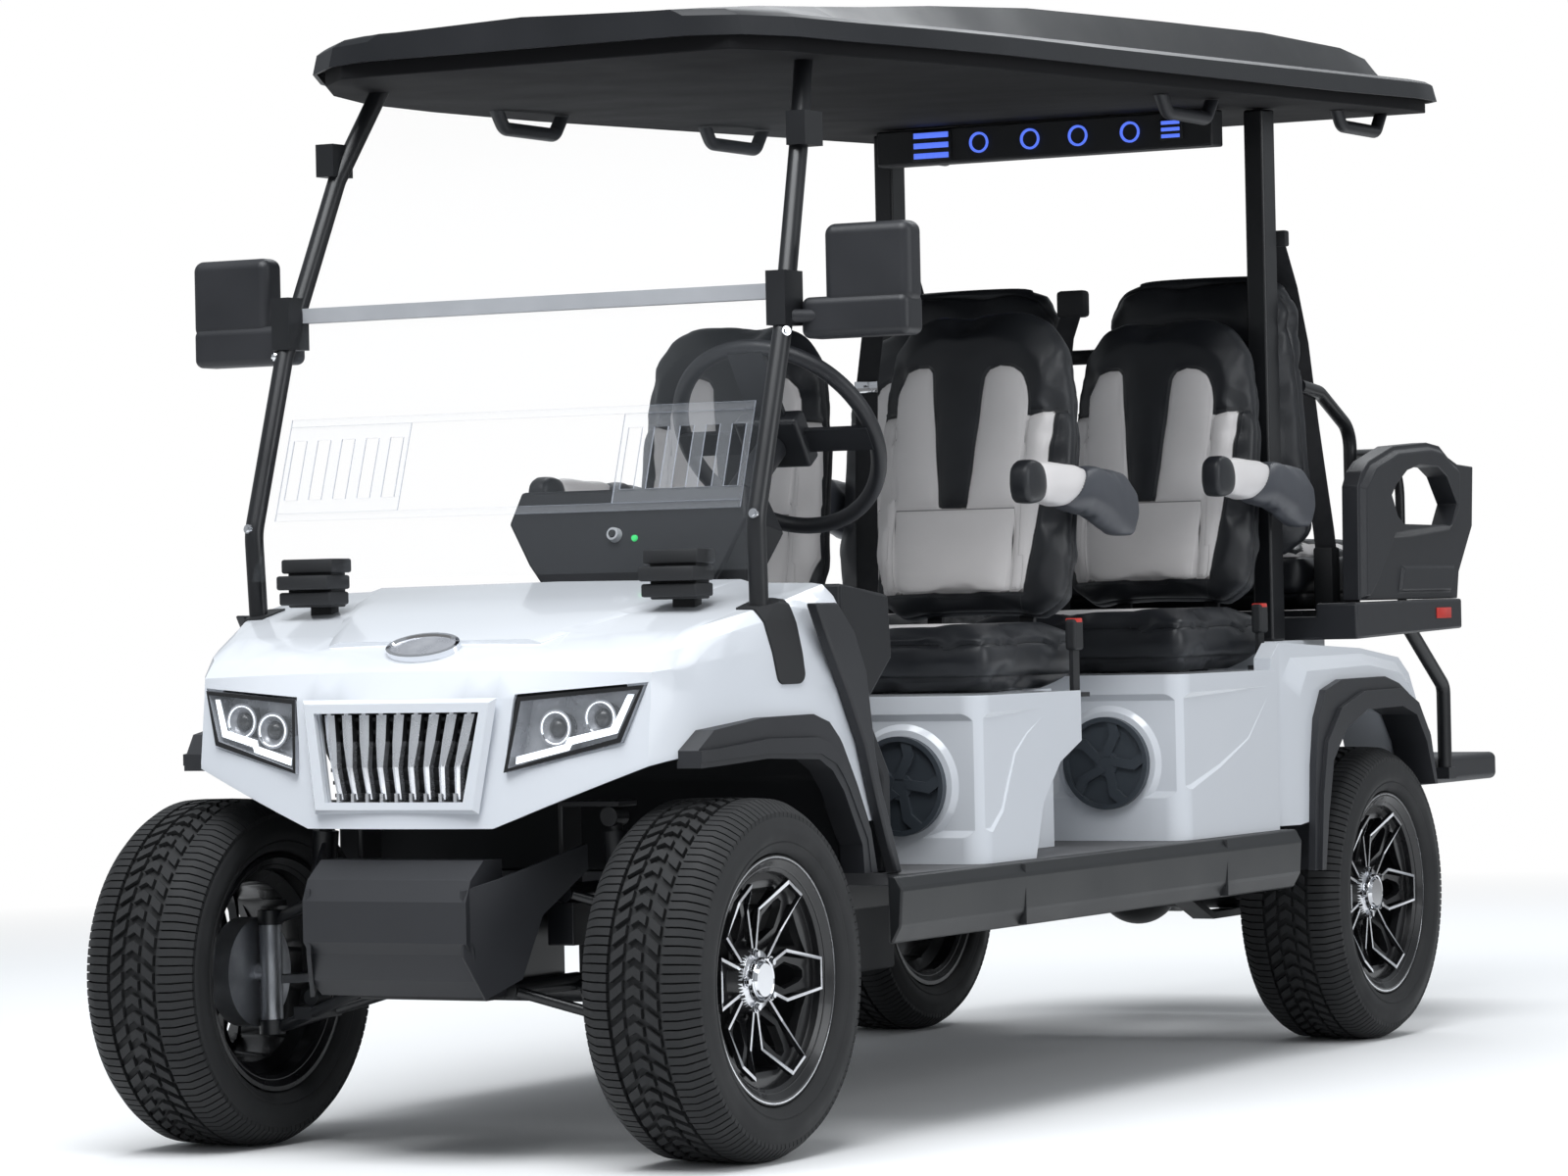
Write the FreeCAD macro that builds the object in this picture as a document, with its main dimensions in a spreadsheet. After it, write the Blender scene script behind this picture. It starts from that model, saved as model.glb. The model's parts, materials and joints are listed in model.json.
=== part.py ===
import FreeCAD, Part
import math
import os
import re
import Sketcher
from FreeCAD import Placement, Rotation, Vector

# Golf cart with four forward seats in two rows and a fold-down seat facing back.
# Millimetres, +Z up, front towards -Y, the cart's left towards +X.
# The origin lies on the ground, midway along the length, on the middle plane.

doc = FreeCAD.newDocument("golf_cart")
sheet = doc.addObject("Spreadsheet::Sheet", "sizes")

driving = {
    # running gear
    "wheelbase": 2470, "rearOverhang": 1088,
    "frontTrack": 956, "rearTrack": 1022,
    "tyreRadius": 292, "tyreWidth": 225, "tyreShoulder": 36, "tyreWall": 18, "tyreTread": 30, "beadInset": 26,
    "rimRadius": 200, "rimSeat": 180, "rimWidth": 190, "rimWall": 6,
    "rimWell": 22, "spokeDepth": 18, "spokeInset": 22, "dishDepth": 34, "hubRadius": 56, "hubDepth": 60,
    "capRadius": 33,
    "kingpinInset": 80, "spindleRadius": 17, "drumRadius": 92, "drumWidth": 40,
    "beamRadius": 34, "motorRadius": 78, "motorLength": 260, "caseRadius": 86,
    # frame, floor and sides
    "railHalf": 190, "railWidth": 50, "railHeight": 70, "railTail": 560, "railNose": 70,
    "cradleHalf": 122, "cradleBottom": 262, "armSpread": 92, "armDrop": 20, "steerArm": 118, "linkHalf": 330,
    "linkRadius": 9, "shockFoot": 306,
    "deckBottom": 720, "deckTop": 799, "footrestTop": 538, "trayFloor": 846, "trayTop": 876, "trayHalf": 560, "trayFront": -10, "trayRear": 560,
    "floorTop": 440, "floorThick": 22, "floorHalf": 598,
    "rockerHalf": 626, "rockerHeight": 112, "rockerFront": 340, "rockerRear": 2005,
    "speakerRadius": 86, "speakerX": 447, "speakerHeightA": 575, "speakerHeightB": 585, "hollowDepth": 7,
    "seatGap": 0.3, "runningGap": 0.3, "wellRear": 432, "shellWall": 5,
    "fenderHalf": 604, "archCentre": 330,
    # front body
    "hoodHalf": 550, "hoodRear": 300, "hoodRearHeight": 933, "noseY": -124, "noseHeight": 831,
    "faceY": -207, "browHeight": 748, "lowLipY": -223, "lipHeight": 543, "lipHalf": 177,
    "shoulderStart": 500, "shoulderFall": 60, "cornerStart": 430, "cornerSweep": 350, "creaseRise": 6,
    "postFootX": 529, "postFootY": 133, "footHalf": 40,
    "lampBezel": 7, "lampDepth": 44, "slatCount": 7, "barCount": 9, "barPitch": 28,
    # seats
    "boxHalf": 600, "boxFrontA": 690, "boxTopA": 729, "boxLengthA": 400, "boxLengthB": 440,
    "coreHalf": 435, "coreDepth": 620,
    "rowPitch": 830, "boxTopB": 748,
    "seatInner": 40, "seatOuter": 508, "cushionThick": 122,
    "cushionDepth": 400, "cushionLead": 210, "backWidth": 410, "backCentre": 258,
    "backHeight": 572, "backThick": 80, "backLean": 10,
    # roof
    "roofHalf": 622, "roofLow": 1827, "roofBend": 500, "roofBand": 40, "crownHalf": 450, "roofSkin": 7,
    "linerDrop": 22, "linerInset": 26, "handleReach": 150, "handleDrop": 76, "handleRadius": 13,
    "postRadius": 16, "rearPostBehind": 119, "rearPostHalf": 417,
    "rearPostWidth": 42, "rearPostDepth": 62,
    # steering
    "wheelCentreX": 270, "wheelCentreAft": 600, "wheelCentreHeight": 1180,
    "wheelRadius": 185, "wheelGrip": 14, "columnLean": 35,
}
places = {
    "frontAxle": "tyreRadius - (tyreRadius + wheelbase + rearOverhang) / 2",
    "rearAxle": "frontAxle + wheelbase",
    "axleHeight": "tyreRadius",
    "floorBottom": "floorTop - floorThick",
    "railTop": "floorBottom - seatGap",
    "railBottom": "railTop - railHeight",
    "boxFrontB": "boxFrontA + rowPitch",
}
for row, (name, size) in enumerate(driving.items(), 1):
    sheet.set("A%d" % row, name)
    sheet.set("B%d" % row, str(size))
    sheet.setAlias("B%d" % row, name)
doc.recompute()

word = re.compile(r"[A-Za-z_]\w*")


def spelled(text):
    # writes a place out in the sheet's own names
    text = str(text)
    while any(w in places for w in word.findall(text)):
        text = word.sub(lambda m: "(%s)" % places[m.group()] if m.group() in places else m.group(), text)
    return text


def tied(text):
    return word.sub(lambda m: "sizes." + m.group() if m.group() in driving else m.group(), spelled(text))


def mm(text):
    return float(sheet.evalExpression(spelled(text)))


def bind(item, ties):
    for name, text in ties.items():
        item.setExpression(name, tied(text))
    return item


class Named:
    # the sheet's numbers, and the places worked out from them
    def __getattr__(self, name):
        return mm(name)


s = Named()
nodes = []


def node(item, label):
    item.Label = label
    nodes.append(item)
    return item


def moulded(label, shape):
    item = doc.addObject("Part::Feature", label)
    item.Shape = shape
    return node(item, label)


def front(distance):
    # Y of a point that lies a distance behind the front axle
    return s.frontAxle + distance


def rear(distance):
    # Y of a point that lies a distance behind the rear axle
    return s.rearAxle + distance


# Parametric pieces

planes = {"X": "YZ_Plane", "Y": "XZ_Plane", "Z": "XY_Plane"}


def sketch(body, axis, corners, offset):
    plane = next(f for f in body.Origin.OriginFeatures if f.Role == planes[axis])
    drawn = body.newObject("Sketcher::SketchObject", body.Name + "Outline")
    drawn.AttachmentSupport = [(plane, "")]
    drawn.MapMode = "FlatFace"
    bind(drawn, {"AttachmentOffset.Base.z": offset})
    points = [Vector(mm(u), mm(v), 0) for u, v in corners]
    count = len(points)
    for i in range(count):
        drawn.addGeometry(Part.LineSegment(points[i], points[(i + 1) % count]), False)
    for i in range(count):
        drawn.addConstraint(Sketcher.Constraint("Coincident", i, 2, (i + 1) % count, 1))
    for i, (u, v) in enumerate(corners):
        across = drawn.addConstraint(Sketcher.Constraint("DistanceX", -1, 1, i, 1, points[i].x))
        up = drawn.addConstraint(Sketcher.Constraint("DistanceY", -1, 1, i, 1, points[i].y))
        bind(drawn, {"Constraints[%d]" % across: u, "Constraints[%d]" % up: v})
    return drawn


def prism(name, axis, corners, start, depth):
    # a padded outline that runs from start along the axis
    body = doc.addObject("PartDesign::Body", name)
    offset = "-(%s) - (%s)" % (start, depth) if axis == "Y" else start
    drawn = sketch(body, axis, corners, offset)
    pad = body.newObject("PartDesign::Pad", name + "Pad")
    pad.Profile = drawn
    bind(pad, {"Length": depth})
    return body


def turned(name, corners, x, y, z):
    # an outline of (along X, radius) turned about the X axis, then moved to its place
    body = doc.addObject("PartDesign::Body", name)
    plane = next(f for f in body.Origin.OriginFeatures if f.Role == "XY_Plane")
    drawn = sketch(body, "Z", corners, "0")
    axis = next(f for f in body.Origin.OriginFeatures if f.Role == "X_Axis")
    turn = body.newObject("PartDesign::Revolution", name + "Turn")
    turn.Profile = drawn
    turn.ReferenceAxis = (axis, [""])
    turn.Angle = 360
    bind(body, {"Placement.Base.x": x, "Placement.Base.y": y, "Placement.Base.z": z})
    return body


def rounded(body, radius, chosen):
    # fillets the edges that the test picks
    doc.recompute()
    base = body.Tip
    names = ["Edge%d" % i for i, edge in enumerate(base.Shape.Edges, 1) if chosen(edge)]
    fillet = body.newObject("PartDesign::Fillet", body.Name + "Round")
    fillet.Base = (base, names)
    bind(fillet, {"Radius": radius})
    return body


def along(direction):
    # picks straight edges that run in the given direction
    def test(edge):
        if edge.Curve.TypeId != "Part::GeomLine":
            return False
        return abs(edge.tangentAt(edge.FirstParameter).dot(direction)) > 0.999
    return test


def mirrored(item, name):
    other = doc.addObject("Part::Mirroring", name)
    other.Source = item
    other.Normal = Vector(1, 0, 0)
    return other


def pair(label, item):
    # the piece and its mirror image on the other side, as one node
    both = doc.addObject("Part::Compound", label)
    both.Links = [item, mirrored(item, label + "Other")]
    return node(both, label)


def group(label, items):
    whole = doc.addObject("Part::Compound", label)
    whole.Links = items
    return node(whole, label)


# Shapes made with solid functions

def polygon(points):
    return Part.makePolygon([Vector(*p) for p in points] + [Vector(*points[0])])


def extruded(points, direction):
    return Part.Face(polygon(points)).extrude(Vector(*direction))


def lofted(sections, ruled=True):
    return Part.makeLoft([polygon(section) for section in sections], True, ruled)


def flip(shape):
    return shape.mirror(Vector(0, 0, 0), Vector(1, 0, 0))


def box(low, high):
    size = [b - a for a, b in zip(low, high)]
    return Part.makeBox(size[0], size[1], size[2], Vector(*low))


def rod(start, end, radius):
    start = Vector(*start)
    along_it = Vector(*end) - start
    return Part.makeCylinder(radius, along_it.Length, start, along_it)


def tube(points, radius, bend):
    # a round bar through the points, with an arc of the bend radius at each inner point
    path = []
    points = [Vector(*p) for p in points]
    last = points[0]
    for before, here, after in zip(points, points[1:], points[2:]):
        incoming = (here - before).normalize()
        outgoing = (after - here).normalize()
        turn = incoming.getAngle(outgoing)
        reach = bend * math.tan(turn / 2)
        first = here - incoming * reach
        second = here + outgoing * reach
        inward = (outgoing - incoming).normalize()
        middle = here + inward * (bend / math.cos(turn / 2) - bend)
        path += [Part.LineSegment(last, first).toShape(), Part.Arc(first, middle, second).toShape()]
        last = second
    path.append(Part.LineSegment(last, points[-1]).toShape())
    spine = Part.Wire(path)
    ring = Part.Wire(Part.makeCircle(radius, points[0], points[1] - points[0]))
    return spine.makePipeShell([ring], True, True)


def softened(shape, radius, chosen=None):
    edges = [e for e in shape.Edges if chosen is None or chosen(e)]
    return shape.makeFillet(radius, edges)


def fused(shapes):
    whole = shapes[0]
    for shape in shapes[1:]:
        whole = whole.fuse(shape)
    return whole.removeSplitter()


def both_sides(shape):
    return Part.makeCompound([shape, flip(shape)])


# Wheels

def tyre(label, x, y):
    half = "tyreWidth / 2"
    outline = [
        ("-(%s) + beadInset" % half, "rimSeat + seatGap"), ("-(%s) + beadInset" % half, "rimRadius + 2 * seatGap"),
        ("-(%s) + 8" % half, "rimRadius + 10"),
        ("-(%s)" % half, "rimSeat + 56"), ("-(%s) + 6" % half, "tyreRadius - 24"),
        ("-(%s) + tyreShoulder" % half, "tyreRadius"), ("%s - tyreShoulder" % half, "tyreRadius"),
        ("%s - 6" % half, "tyreRadius - 24"), (half, "rimSeat + 56"), ("%s - 8" % half, "rimRadius + 10"),
        ("%s - beadInset" % half, "rimRadius + 2 * seatGap"), ("%s - beadInset" % half, "rimSeat + seatGap"),
        ("%s - beadInset - tyreWall" % half, "rimSeat + seatGap"), ("%s - tyreWall" % half, "rimSeat + 56"),
        ("%s - tyreShoulder" % half, "tyreRadius - tyreTread"), ("-(%s) + tyreShoulder" % half, "tyreRadius - tyreTread"),
        ("-(%s) + tyreWall" % half, "rimSeat + 56"), ("-(%s) + beadInset + tyreWall" % half, "rimSeat + seatGap"),
    ]
    node(turned(label, outline, x, y, "axleHeight"), label)


def rim(label, side, x, y):
    # side is 1 on the left, so that the spoked face looks outward
    half = s.rimWidth / 2
    seat = s.rimSeat
    lip = s.rimRadius
    wall = s.rimWall
    well = seat - s.rimWell
    face = half - s.spokeInset
    back = face - s.dishDepth
    bore = s.spindleRadius + s.runningGap
    profile = [(half - 52, well), (half - 40, seat), (half - wall - 2, seat), (half - wall, lip), (half, lip),
               (half, lip - 8), (half - 14, seat - wall), (face - 4, seat - wall - 2), (face - 4, seat - wall - 14),
               (back, s.hubRadius + 6), (face - 12, s.hubRadius - 8), (face - 8, s.capRadius), (face - 8, 0),
               (back - 8, 0), (back - 8, bore), (back + 6 - s.hubDepth, bore), (back + 6 - s.hubDepth, s.hubRadius),
               (back - s.spokeDepth, s.hubRadius), (back - s.spokeDepth, s.hubRadius + 6),
               (face - 4 - s.spokeDepth, well - wall), (-half + 54, well - wall), (-half + 40, seat - wall - 2),
               (-half + 14, seat - wall), (-half, lip - 8), (-half, lip), (-half + wall, lip),
               (-half + wall + 2, seat), (-half + 40, seat), (-half + 52, well)]
    wheel = Part.Face(polygon([(a, r, 0) for a, r in profile])).revolve(Vector(0, 0, 0), Vector(1, 0, 0), 360)
    # six long spoke loops with an open middle, and a wide gap between each two of them
    reach = well - wall - 4
    inside = [(72, -7), (72, 7), (104, 22), (reach - 14, 13), (reach - 4, 6), (reach - 4, -6), (reach - 14, -13), (104, -22)]
    between = [(64, -2), (64, 2), (104, 24), (reach - 8, 54), (reach - 1, 48), (reach - 1, -48), (reach - 8, -54),
               (104, -24)]
    cut = []
    for turn in range(6):
        for outline, angle in ((inside, turn * 60), (between, turn * 60 + 30)):
            hole = extruded([(-2 * half, r, t) for r, t in outline], (4 * half, 0, 0))
            hole.rotate(Vector(0, 0, 0), Vector(1, 0, 0), angle)
            cut.append(hole)
    wheel = wheel.cut(cut)
    if side < 0:
        wheel = flip(wheel)
    wheel.translate(Vector(mm(x), mm(y), s.axleHeight))
    moulded(label, wheel)


def wheels():
    for side, hand in ((1, "left"), (-1, "right")):
        for end, track, place in (("front", "frontTrack", "frontAxle"), ("rear", "rearTrack", "rearAxle")):
            x = "%d * %s / 2" % (side, track)
            tyre("tyre_%s_%s" % (end, hand), x, place)
            rim("rim_%s_%s" % (end, hand), side, x, place)


def hub_inner(track):
    # X of a left hub's inner face
    return track / 2 + s.rimWidth / 2 - s.spokeInset - s.dishDepth + 6 - s.hubDepth


def knuckle(hand, side):
    # upright with spindle, brake drum and steering arm
    king = s.frontTrack / 2 - s.kingpinInset
    hub = hub_inner(s.frontTrack)
    y = s.frontAxle
    z = s.axleHeight
    drum = Part.makeCylinder(s.drumRadius, s.drumWidth, Vector(hub - 2 - s.drumWidth, y, z), Vector(1, 0, 0))
    spindle = Part.makeCylinder(s.spindleRadius, hub + 40 - king, Vector(king, y, z), Vector(1, 0, 0))
    post = Part.makeCylinder(19, 2 * s.armSpread - 24 - 2 * s.seatGap, Vector(king, y, z - s.armSpread + 12 + s.seatGap),
                             Vector(0, 0, 1))
    reach = s.steerArm
    low = z - s.armDrop
    tip = s.linkHalf
    arm = extruded([(king - 12, y - 6, low), (king + 16, y + 8, low), (tip + 12, y + reach + 4, low),
                    (tip + 6, y + reach + 12, low), (tip - 10, y + reach + 12, low), (tip - 12, y + reach - 4, low)],
                   (0, 0, 14))
    shape = fused([spindle, drum, post, arm])
    moulded("knuckle_%s" % hand, shape if side > 0 else flip(shape))


def front_suspension():
    # two wishbones a side on the front cradle, and the housing of the steering rack
    y = s.frontAxle
    z = s.axleHeight
    king = s.frontTrack / 2 - s.kingpinInset
    pieces = []
    lower_inner = s.cradleHalf + s.seatGap + 15
    upper_inner = s.railHalf + s.railWidth - 16
    for inner, low, height, spread in ((lower_inner, s.cradleBottom + 15, z - s.armSpread, 100),
                                       (upper_inner, s.railTop + s.seatGap + 15, z + s.armSpread, 66)):
        eye = Part.makeCylinder(22, 24, Vector(king, y, height - 12), Vector(0, 0, 1))
        legs = [rod((inner, y + reach, low), (king - 20, y, height), 9) for reach in (-spread, spread)]
        hinge = rod((inner, y - spread - 8, low), (inner, y + spread + 8, low), 15)
        whole = [eye, hinge] + legs
        if inner == lower_inner:
            slope = (height - low) / (king - 20 - inner)
            rest = low + slope * (s.shockFoot - inner)
            seat = rest + 14
            whole.append(box((s.shockFoot - 18, y - 45, rest - 6), (s.shockFoot + 18, y + 45, seat)))
            foot = Vector(s.shockFoot, y, seat + s.seatGap + 14)
        pieces.append(fused(whole))
    rack_y = y + s.steerArm
    rack_z = z - s.armDrop - s.seatGap - s.linkRadius
    housing = rod((-150, rack_y, rack_z), (150, rack_y, rack_z), s.linkRadius + s.runningGap + 12)
    housing = housing.cut(rod((-160, rack_y, rack_z), (160, rack_y, rack_z), s.linkRadius + s.runningGap))
    pieces = [side for piece in pieces for side in (piece, flip(piece))]
    moulded("front_suspension", Part.makeCompound(pieces + [housing]))
    link = rod((-s.linkHalf, rack_y, rack_z), (s.linkHalf, rack_y, rack_z), s.linkRadius)
    moulded("steering_link", link)
    # coil-over shocks between the lower arms and the towers
    head = Vector(s.shockFoot - 26, y, z + 262)
    direction = (head - foot).normalize()
    shock = [rod(tuple(foot), tuple(head), 11),
             rod(tuple(foot + direction * 80), tuple(head - direction * 24), 22),
             rod((foot.x, foot.y - 20, foot.z), (foot.x, foot.y + 20, foot.z), 14),
             rod((head.x, head.y - 20, head.z), (head.x, head.y + 20, head.z), 16)]
    moulded("front_shocks", both_sides(fused(shock)))


def rear_axle():
    y = s.rearAxle
    z = s.axleHeight
    hub = hub_inner(s.rearTrack)
    end = hub - 2
    shaft = rod((-hub - 40, y, z), (hub + 40, y, z), s.spindleRadius)
    beam = rod((-end, y, z), (end, y, z), s.beamRadius)
    case = Part.makeSphere(s.caseRadius, Vector(60, y, z + 18))
    motor = Part.makeCylinder(s.motorRadius, s.motorLength, Vector(-150, y + 100, z + 30), Vector(1, 0, 0))
    drums = [rod((side * (end - s.drumWidth), y, z), (side * end, y, z), s.drumRadius) for side in (1, -1)]
    moulded("rear_axle", fused([shaft, beam, case, motor] + drums))
    # a leaf spring under the beam on each side, hung at the outer faces of the rails, and a shock
    inner = s.railHalf + s.railWidth + s.seatGap
    low = z - s.beamRadius - s.seatGap
    eye = s.railBottom + 26
    leaf = extruded([(inner, y - 430, eye - 8), (inner, y - 130, low - 14), (inner, y + 130, low - 14),
                     (inner, y + 400, eye - 8), (inner, y + 400, eye + 6), (inner, y + 128, low),
                     (inner, y - 128, low), (inner, y - 430, eye + 6)], (46, 0, 0))
    ends = [rod((inner, y + d, eye), (inner + 46, y + d, eye), 17) for d in (-430, 400)]
    leaf = fused([leaf] + ends)
    shock_x = s.railHalf + s.railWidth + 80
    foot = (shock_x, y - s.beamRadius - 14 - s.seatGap, z)
    head = (shock_x, y - 96, z + 268)
    shock = fused([rod(foot, head, 11), rod((shock_x, foot[1] - 18, z + 80), (shock_x, head[1] + 8, z + 240), 29),
                   rod((shock_x - 18, foot[1], foot[2]), (shock_x + 18, foot[1], foot[2]), 14),
                   rod((shock_x - 18, head[1], head[2]), (shock_x + 18, head[1], head[2]), 14)])
    moulded("rear_suspension", Part.makeCompound([leaf, flip(leaf), shock, flip(shock)]))


# Frame, floor and power pack

def chassis():
    outline = [("railHalf", "railBottom"), ("railHalf + railWidth", "railBottom"),
               ("railHalf + railWidth", "railTop"), ("railHalf", "railTop")]
    rail = prism("rail", "Y", outline, "frontAxle - railNose", "wheelbase + railTail + railNose")
    pieces = [rail, mirrored(rail, "railOther")]
    places_across = ("frontAxle + 110", "frontAxle + 460", "frontAxle + 1180", "rearAxle - 480",
                     "rearAxle + railTail - railWidth")
    for i, place in enumerate(places_across):
        bar = doc.addObject("Part::Box", "cross%d" % i)
        bind(bar, {"Length": "2 * railHalf - 2 * seatGap", "Width": "railWidth", "Height": "railHeight - 20",
                   "Placement.Base.x": "seatGap - railHalf", "Placement.Base.y": place,
                   "Placement.Base.z": "railBottom + 10"})
        pieces.append(bar)
    # cradle of the lower arms under the front of the rails
    cradle = doc.addObject("Part::Box", "cradle")
    bind(cradle, {"Length": "2 * cradleHalf", "Width": "246", "Height": "railTop - 10 - cradleBottom",
                  "Placement.Base.x": "-cradleHalf", "Placement.Base.y": "frontAxle - 150",
                  "Placement.Base.z": "cradleBottom"})
    pieces.append(cradle)
    # towers for the shocks and uprights under the rear deck
    tower_x = "railHalf"
    tower = prism("tower", "Y", [(tower_x, "railTop + seatGap"), ("railHalf + 9", "railTop + seatGap"),
                                 ("railHalf + 9", "axleHeight + 262 + 16 + seatGap"),
                                 ("railHalf + 115", "axleHeight + 262 + 16 + seatGap"),
                                 ("railHalf + 115", "axleHeight + 262 + 26 + seatGap"),
                                 (tower_x, "axleHeight + 262 + 26 + seatGap")],
                  "frontAxle - 30", "60")
    pieces += [tower, mirrored(tower, "towerOther")]
    for i, place in enumerate(("rearAxle - 270", "rearAxle + 30")):
        upright = doc.addObject("Part::Box", "upright%d" % i)
        bind(upright, {"Length": "railWidth", "Width": "40", "Height": "deckBottom - railTop - 2 * seatGap",
                       "Placement.Base.x": "railHalf", "Placement.Base.y": place,
                       "Placement.Base.z": "railTop + seatGap"})
        pieces += [upright, mirrored(upright, "upright%dOther" % i)]
    group("chassis_frame", pieces)
    pack = doc.addObject("Part::Box", "battery")
    bind(pack, {"Length": "2 * railHalf - 20", "Width": "520", "Height": "190",
                "Placement.Base.x": "-railHalf + 10", "Placement.Base.y": "frontAxle + 640",
                "Placement.Base.z": "floorBottom - seatGap - 190"})
    node(pack, "battery_pack")


def floor():
    pan = doc.addObject("Part::Box", "pan")
    bind(pan, {"Length": "2 * floorHalf", "Width": "rockerRear - wellRear", "Height": "floorThick",
               "Placement.Base.x": "-floorHalf", "Placement.Base.y": "frontAxle + wellRear",
               "Placement.Base.z": "floorBottom"})
    node(pan, "floor_pan")
    # rocker: a faceted sill outside the floor pan
    bottom = "floorTop - rockerHeight"
    outline = [("floorHalf + seatGap", "floorTop"), ("rockerHalf - 12", "floorTop"),
               ("rockerHalf", "floorTop - 22"), ("rockerHalf - 4", "floorTop - 84"),
               ("rockerHalf - 20", bottom), ("floorHalf + seatGap", bottom)]
    pair("rockers", prism("rocker", "Y", outline, "frontAxle + rockerFront", "rockerRear - rockerFront"))


# Front body

def fascia_y(z):
    # front face of the nose on the middle plane, leaning back as it rises
    return s.lowLipY + (s.faceY - s.lowLipY) * (z - s.lipHeight) / (s.browHeight - s.lipHeight)


def shoulder_drop(x):
    # how far the hood falls away towards its side edge
    share = x / s.hoodHalf
    return 8 * share ** 2 + s.shoulderFall * max(0, (x - s.shoulderStart) / (s.hoodHalf - s.shoulderStart)) ** 2


def hood_height(x, d):
    # height of the hood at a distance x from the middle plane and d behind the front axle
    rise = (d - s.noseY) / (s.hoodRear - s.noseY)
    centre = s.noseHeight + (s.hoodRearHeight - s.noseHeight) * (1.32 * rise - 0.32 * rise ** 2)
    return centre - shoulder_drop(x)


def flank_turn(x):
    # how far the nose has turned back towards the flank at a distance x from the middle plane
    return s.cornerSweep * max(0, (x - s.cornerStart) / (s.hoodHalf - s.cornerStart)) ** 1.5


def hood_profile(x):
    # outer line of the nose and hood at a distance x from the middle plane, from the low edge to the rear edge
    sweep = (x / s.hoodHalf) ** 2
    turn = flank_turn(x)
    low_z = s.lipHeight + (0 if x < s.lipHalf else 150 * ((x - s.lipHalf) / (s.hoodHalf - s.lipHalf)) ** 0.9)
    nose_y = s.noseY + 35 * sweep + turn
    nose_z = hood_height(x, nose_y) - 24 * sweep
    face_y = s.faceY + 120 * sweep + turn
    line = [(s.lowLipY + 125 * sweep + turn, low_z), (face_y, s.browHeight + 8 * sweep),
            (0.6 * face_y + 0.4 * nose_y - 9, 0.42 * s.browHeight + 0.58 * nose_z), (nose_y, nose_z)]
    for share in (0.18, 0.43, 0.72, 1):
        d = nose_y + share * (s.hoodRear - nose_y)
        line.append((d, hood_height(x, d)))
    return line


arch_line = [(-400, 300), (-98, 646), (70, 655), (205, 650), (246, 632), (284, 588), (345, 500), (366, 300)]


def hood_solid():
    # the nose and hood as a full block
    outer = []
    for x in hood_stations:
        line = hood_profile(x)
        outer.append([(x, front(y), z) for y, z in line] + [(x, front(s.hoodRear), 500), (x, front(line[0][0]), 500)])
    return lofted(outer)


def hood_hollow():
    # what the skin of the nose and hood leaves open inside
    wall = s.shellWall
    inner = []
    for x in hood_stations:
        line = hood_profile(x)
        inside = [(y + wall * 1.2, z - (0 if i == 0 else wall * 1.3)) for i, (y, z) in enumerate(line)]
        inside[-1] = (s.hoodRear + 1, inside[-1][1])
        if x > s.cornerStart:
            x -= wall * min(1, (x - s.cornerStart) / 40)
        inner.append([(x, front(y), z) for y, z in inside] +
                     [(x, front(s.hoodRear + 1), 400), (x, front(inside[0][0]), 400)])
    return lofted(inner)


hood_stations = [0, 60, 120, 177, 240, 300, 360, 410, 430, 450, 470, 490, 510, 530, 550]


def front_body():
    wall = s.shellWall
    skin = hood_solid().cut(hood_hollow())
    # the low edge rises outward, and the wheel arch is open
    lip = [(0, s.lipHeight), (s.lipHalf, s.lipHeight), (494, 664), (560, 690), (560, 300), (0, 300)]
    skin = skin.cut(extruded([(x, front(-400), z) for x, z in lip], (0, 420, 0)))
    arch = extruded([(330, front(y), z) for y, z in arch_line], (260, 0, 0))
    skin = skin.cut([arch, box((-10, front(-60), 300), (538, front(310), 640))])
    # the flank runs on behind the flare as a narrow tail
    tail = [(280, 700), (286, 768), (347, 662), (392, 560), (402, 530), (366, 530), (326, 596), (292, 644)]
    skin = skin.fuse(extruded([(s.hoodHalf - wall, front(y), z) for y, z in tail], (wall, 0, 0)))
    # a raised middle panel that widens towards the rear, with sloped edges
    sections = []
    for d, half in ((-96, 205), (-50, 226), (60, 278), (180, 330), (s.hoodRear, 378)):
        edge_z = hood_height(half, d)
        top_z = hood_height(half - 22, d) + s.creaseRise
        sections.append([(0, front(d), edge_z - 4), (half, front(d), edge_z - 4), (half, front(d), edge_z),
                         (half - 22, front(d), top_z), (0, front(d), hood_height(0, d) + s.creaseRise)])
    skin = skin.fuse(lofted(sections))
    # a raised frame round the grille
    frame = [[(x, front(fascia_y(z) + lean), z) for x, z in corners] for corners, lean in (
        ([(0, 567), (157, 567), (186, 752), (0, 752)], 3), ([(0, 574), (150, 574), (177, 745), (0, 745)], -7))]
    skin = skin.fuse(lofted(frame))
    opening = [(-10, 586), (132, 586), (158, 730), (-10, 730)]
    skin = skin.cut(extruded([(x, front(-400), z) for x, z in opening], (0, 300, 0)))
    rim = lamp_outline(-4)
    recess = [[(x, front(lamp_face(x, z) + d), z) for x, z in rim] for d in (-60, 14)]
    lamp = extruded([(x, front(-400), z) for x, z in lamp_outline(0)], (0, 330, 0))
    skin = skin.cut([lofted(recess), lamp])
    # a channel down each side of the hood takes the cover of a windshield post's foot
    skin = skin.cut(post_channel(0))
    moulded("front_body", skin.fuse(flip(skin)).removeSplitter())


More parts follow.
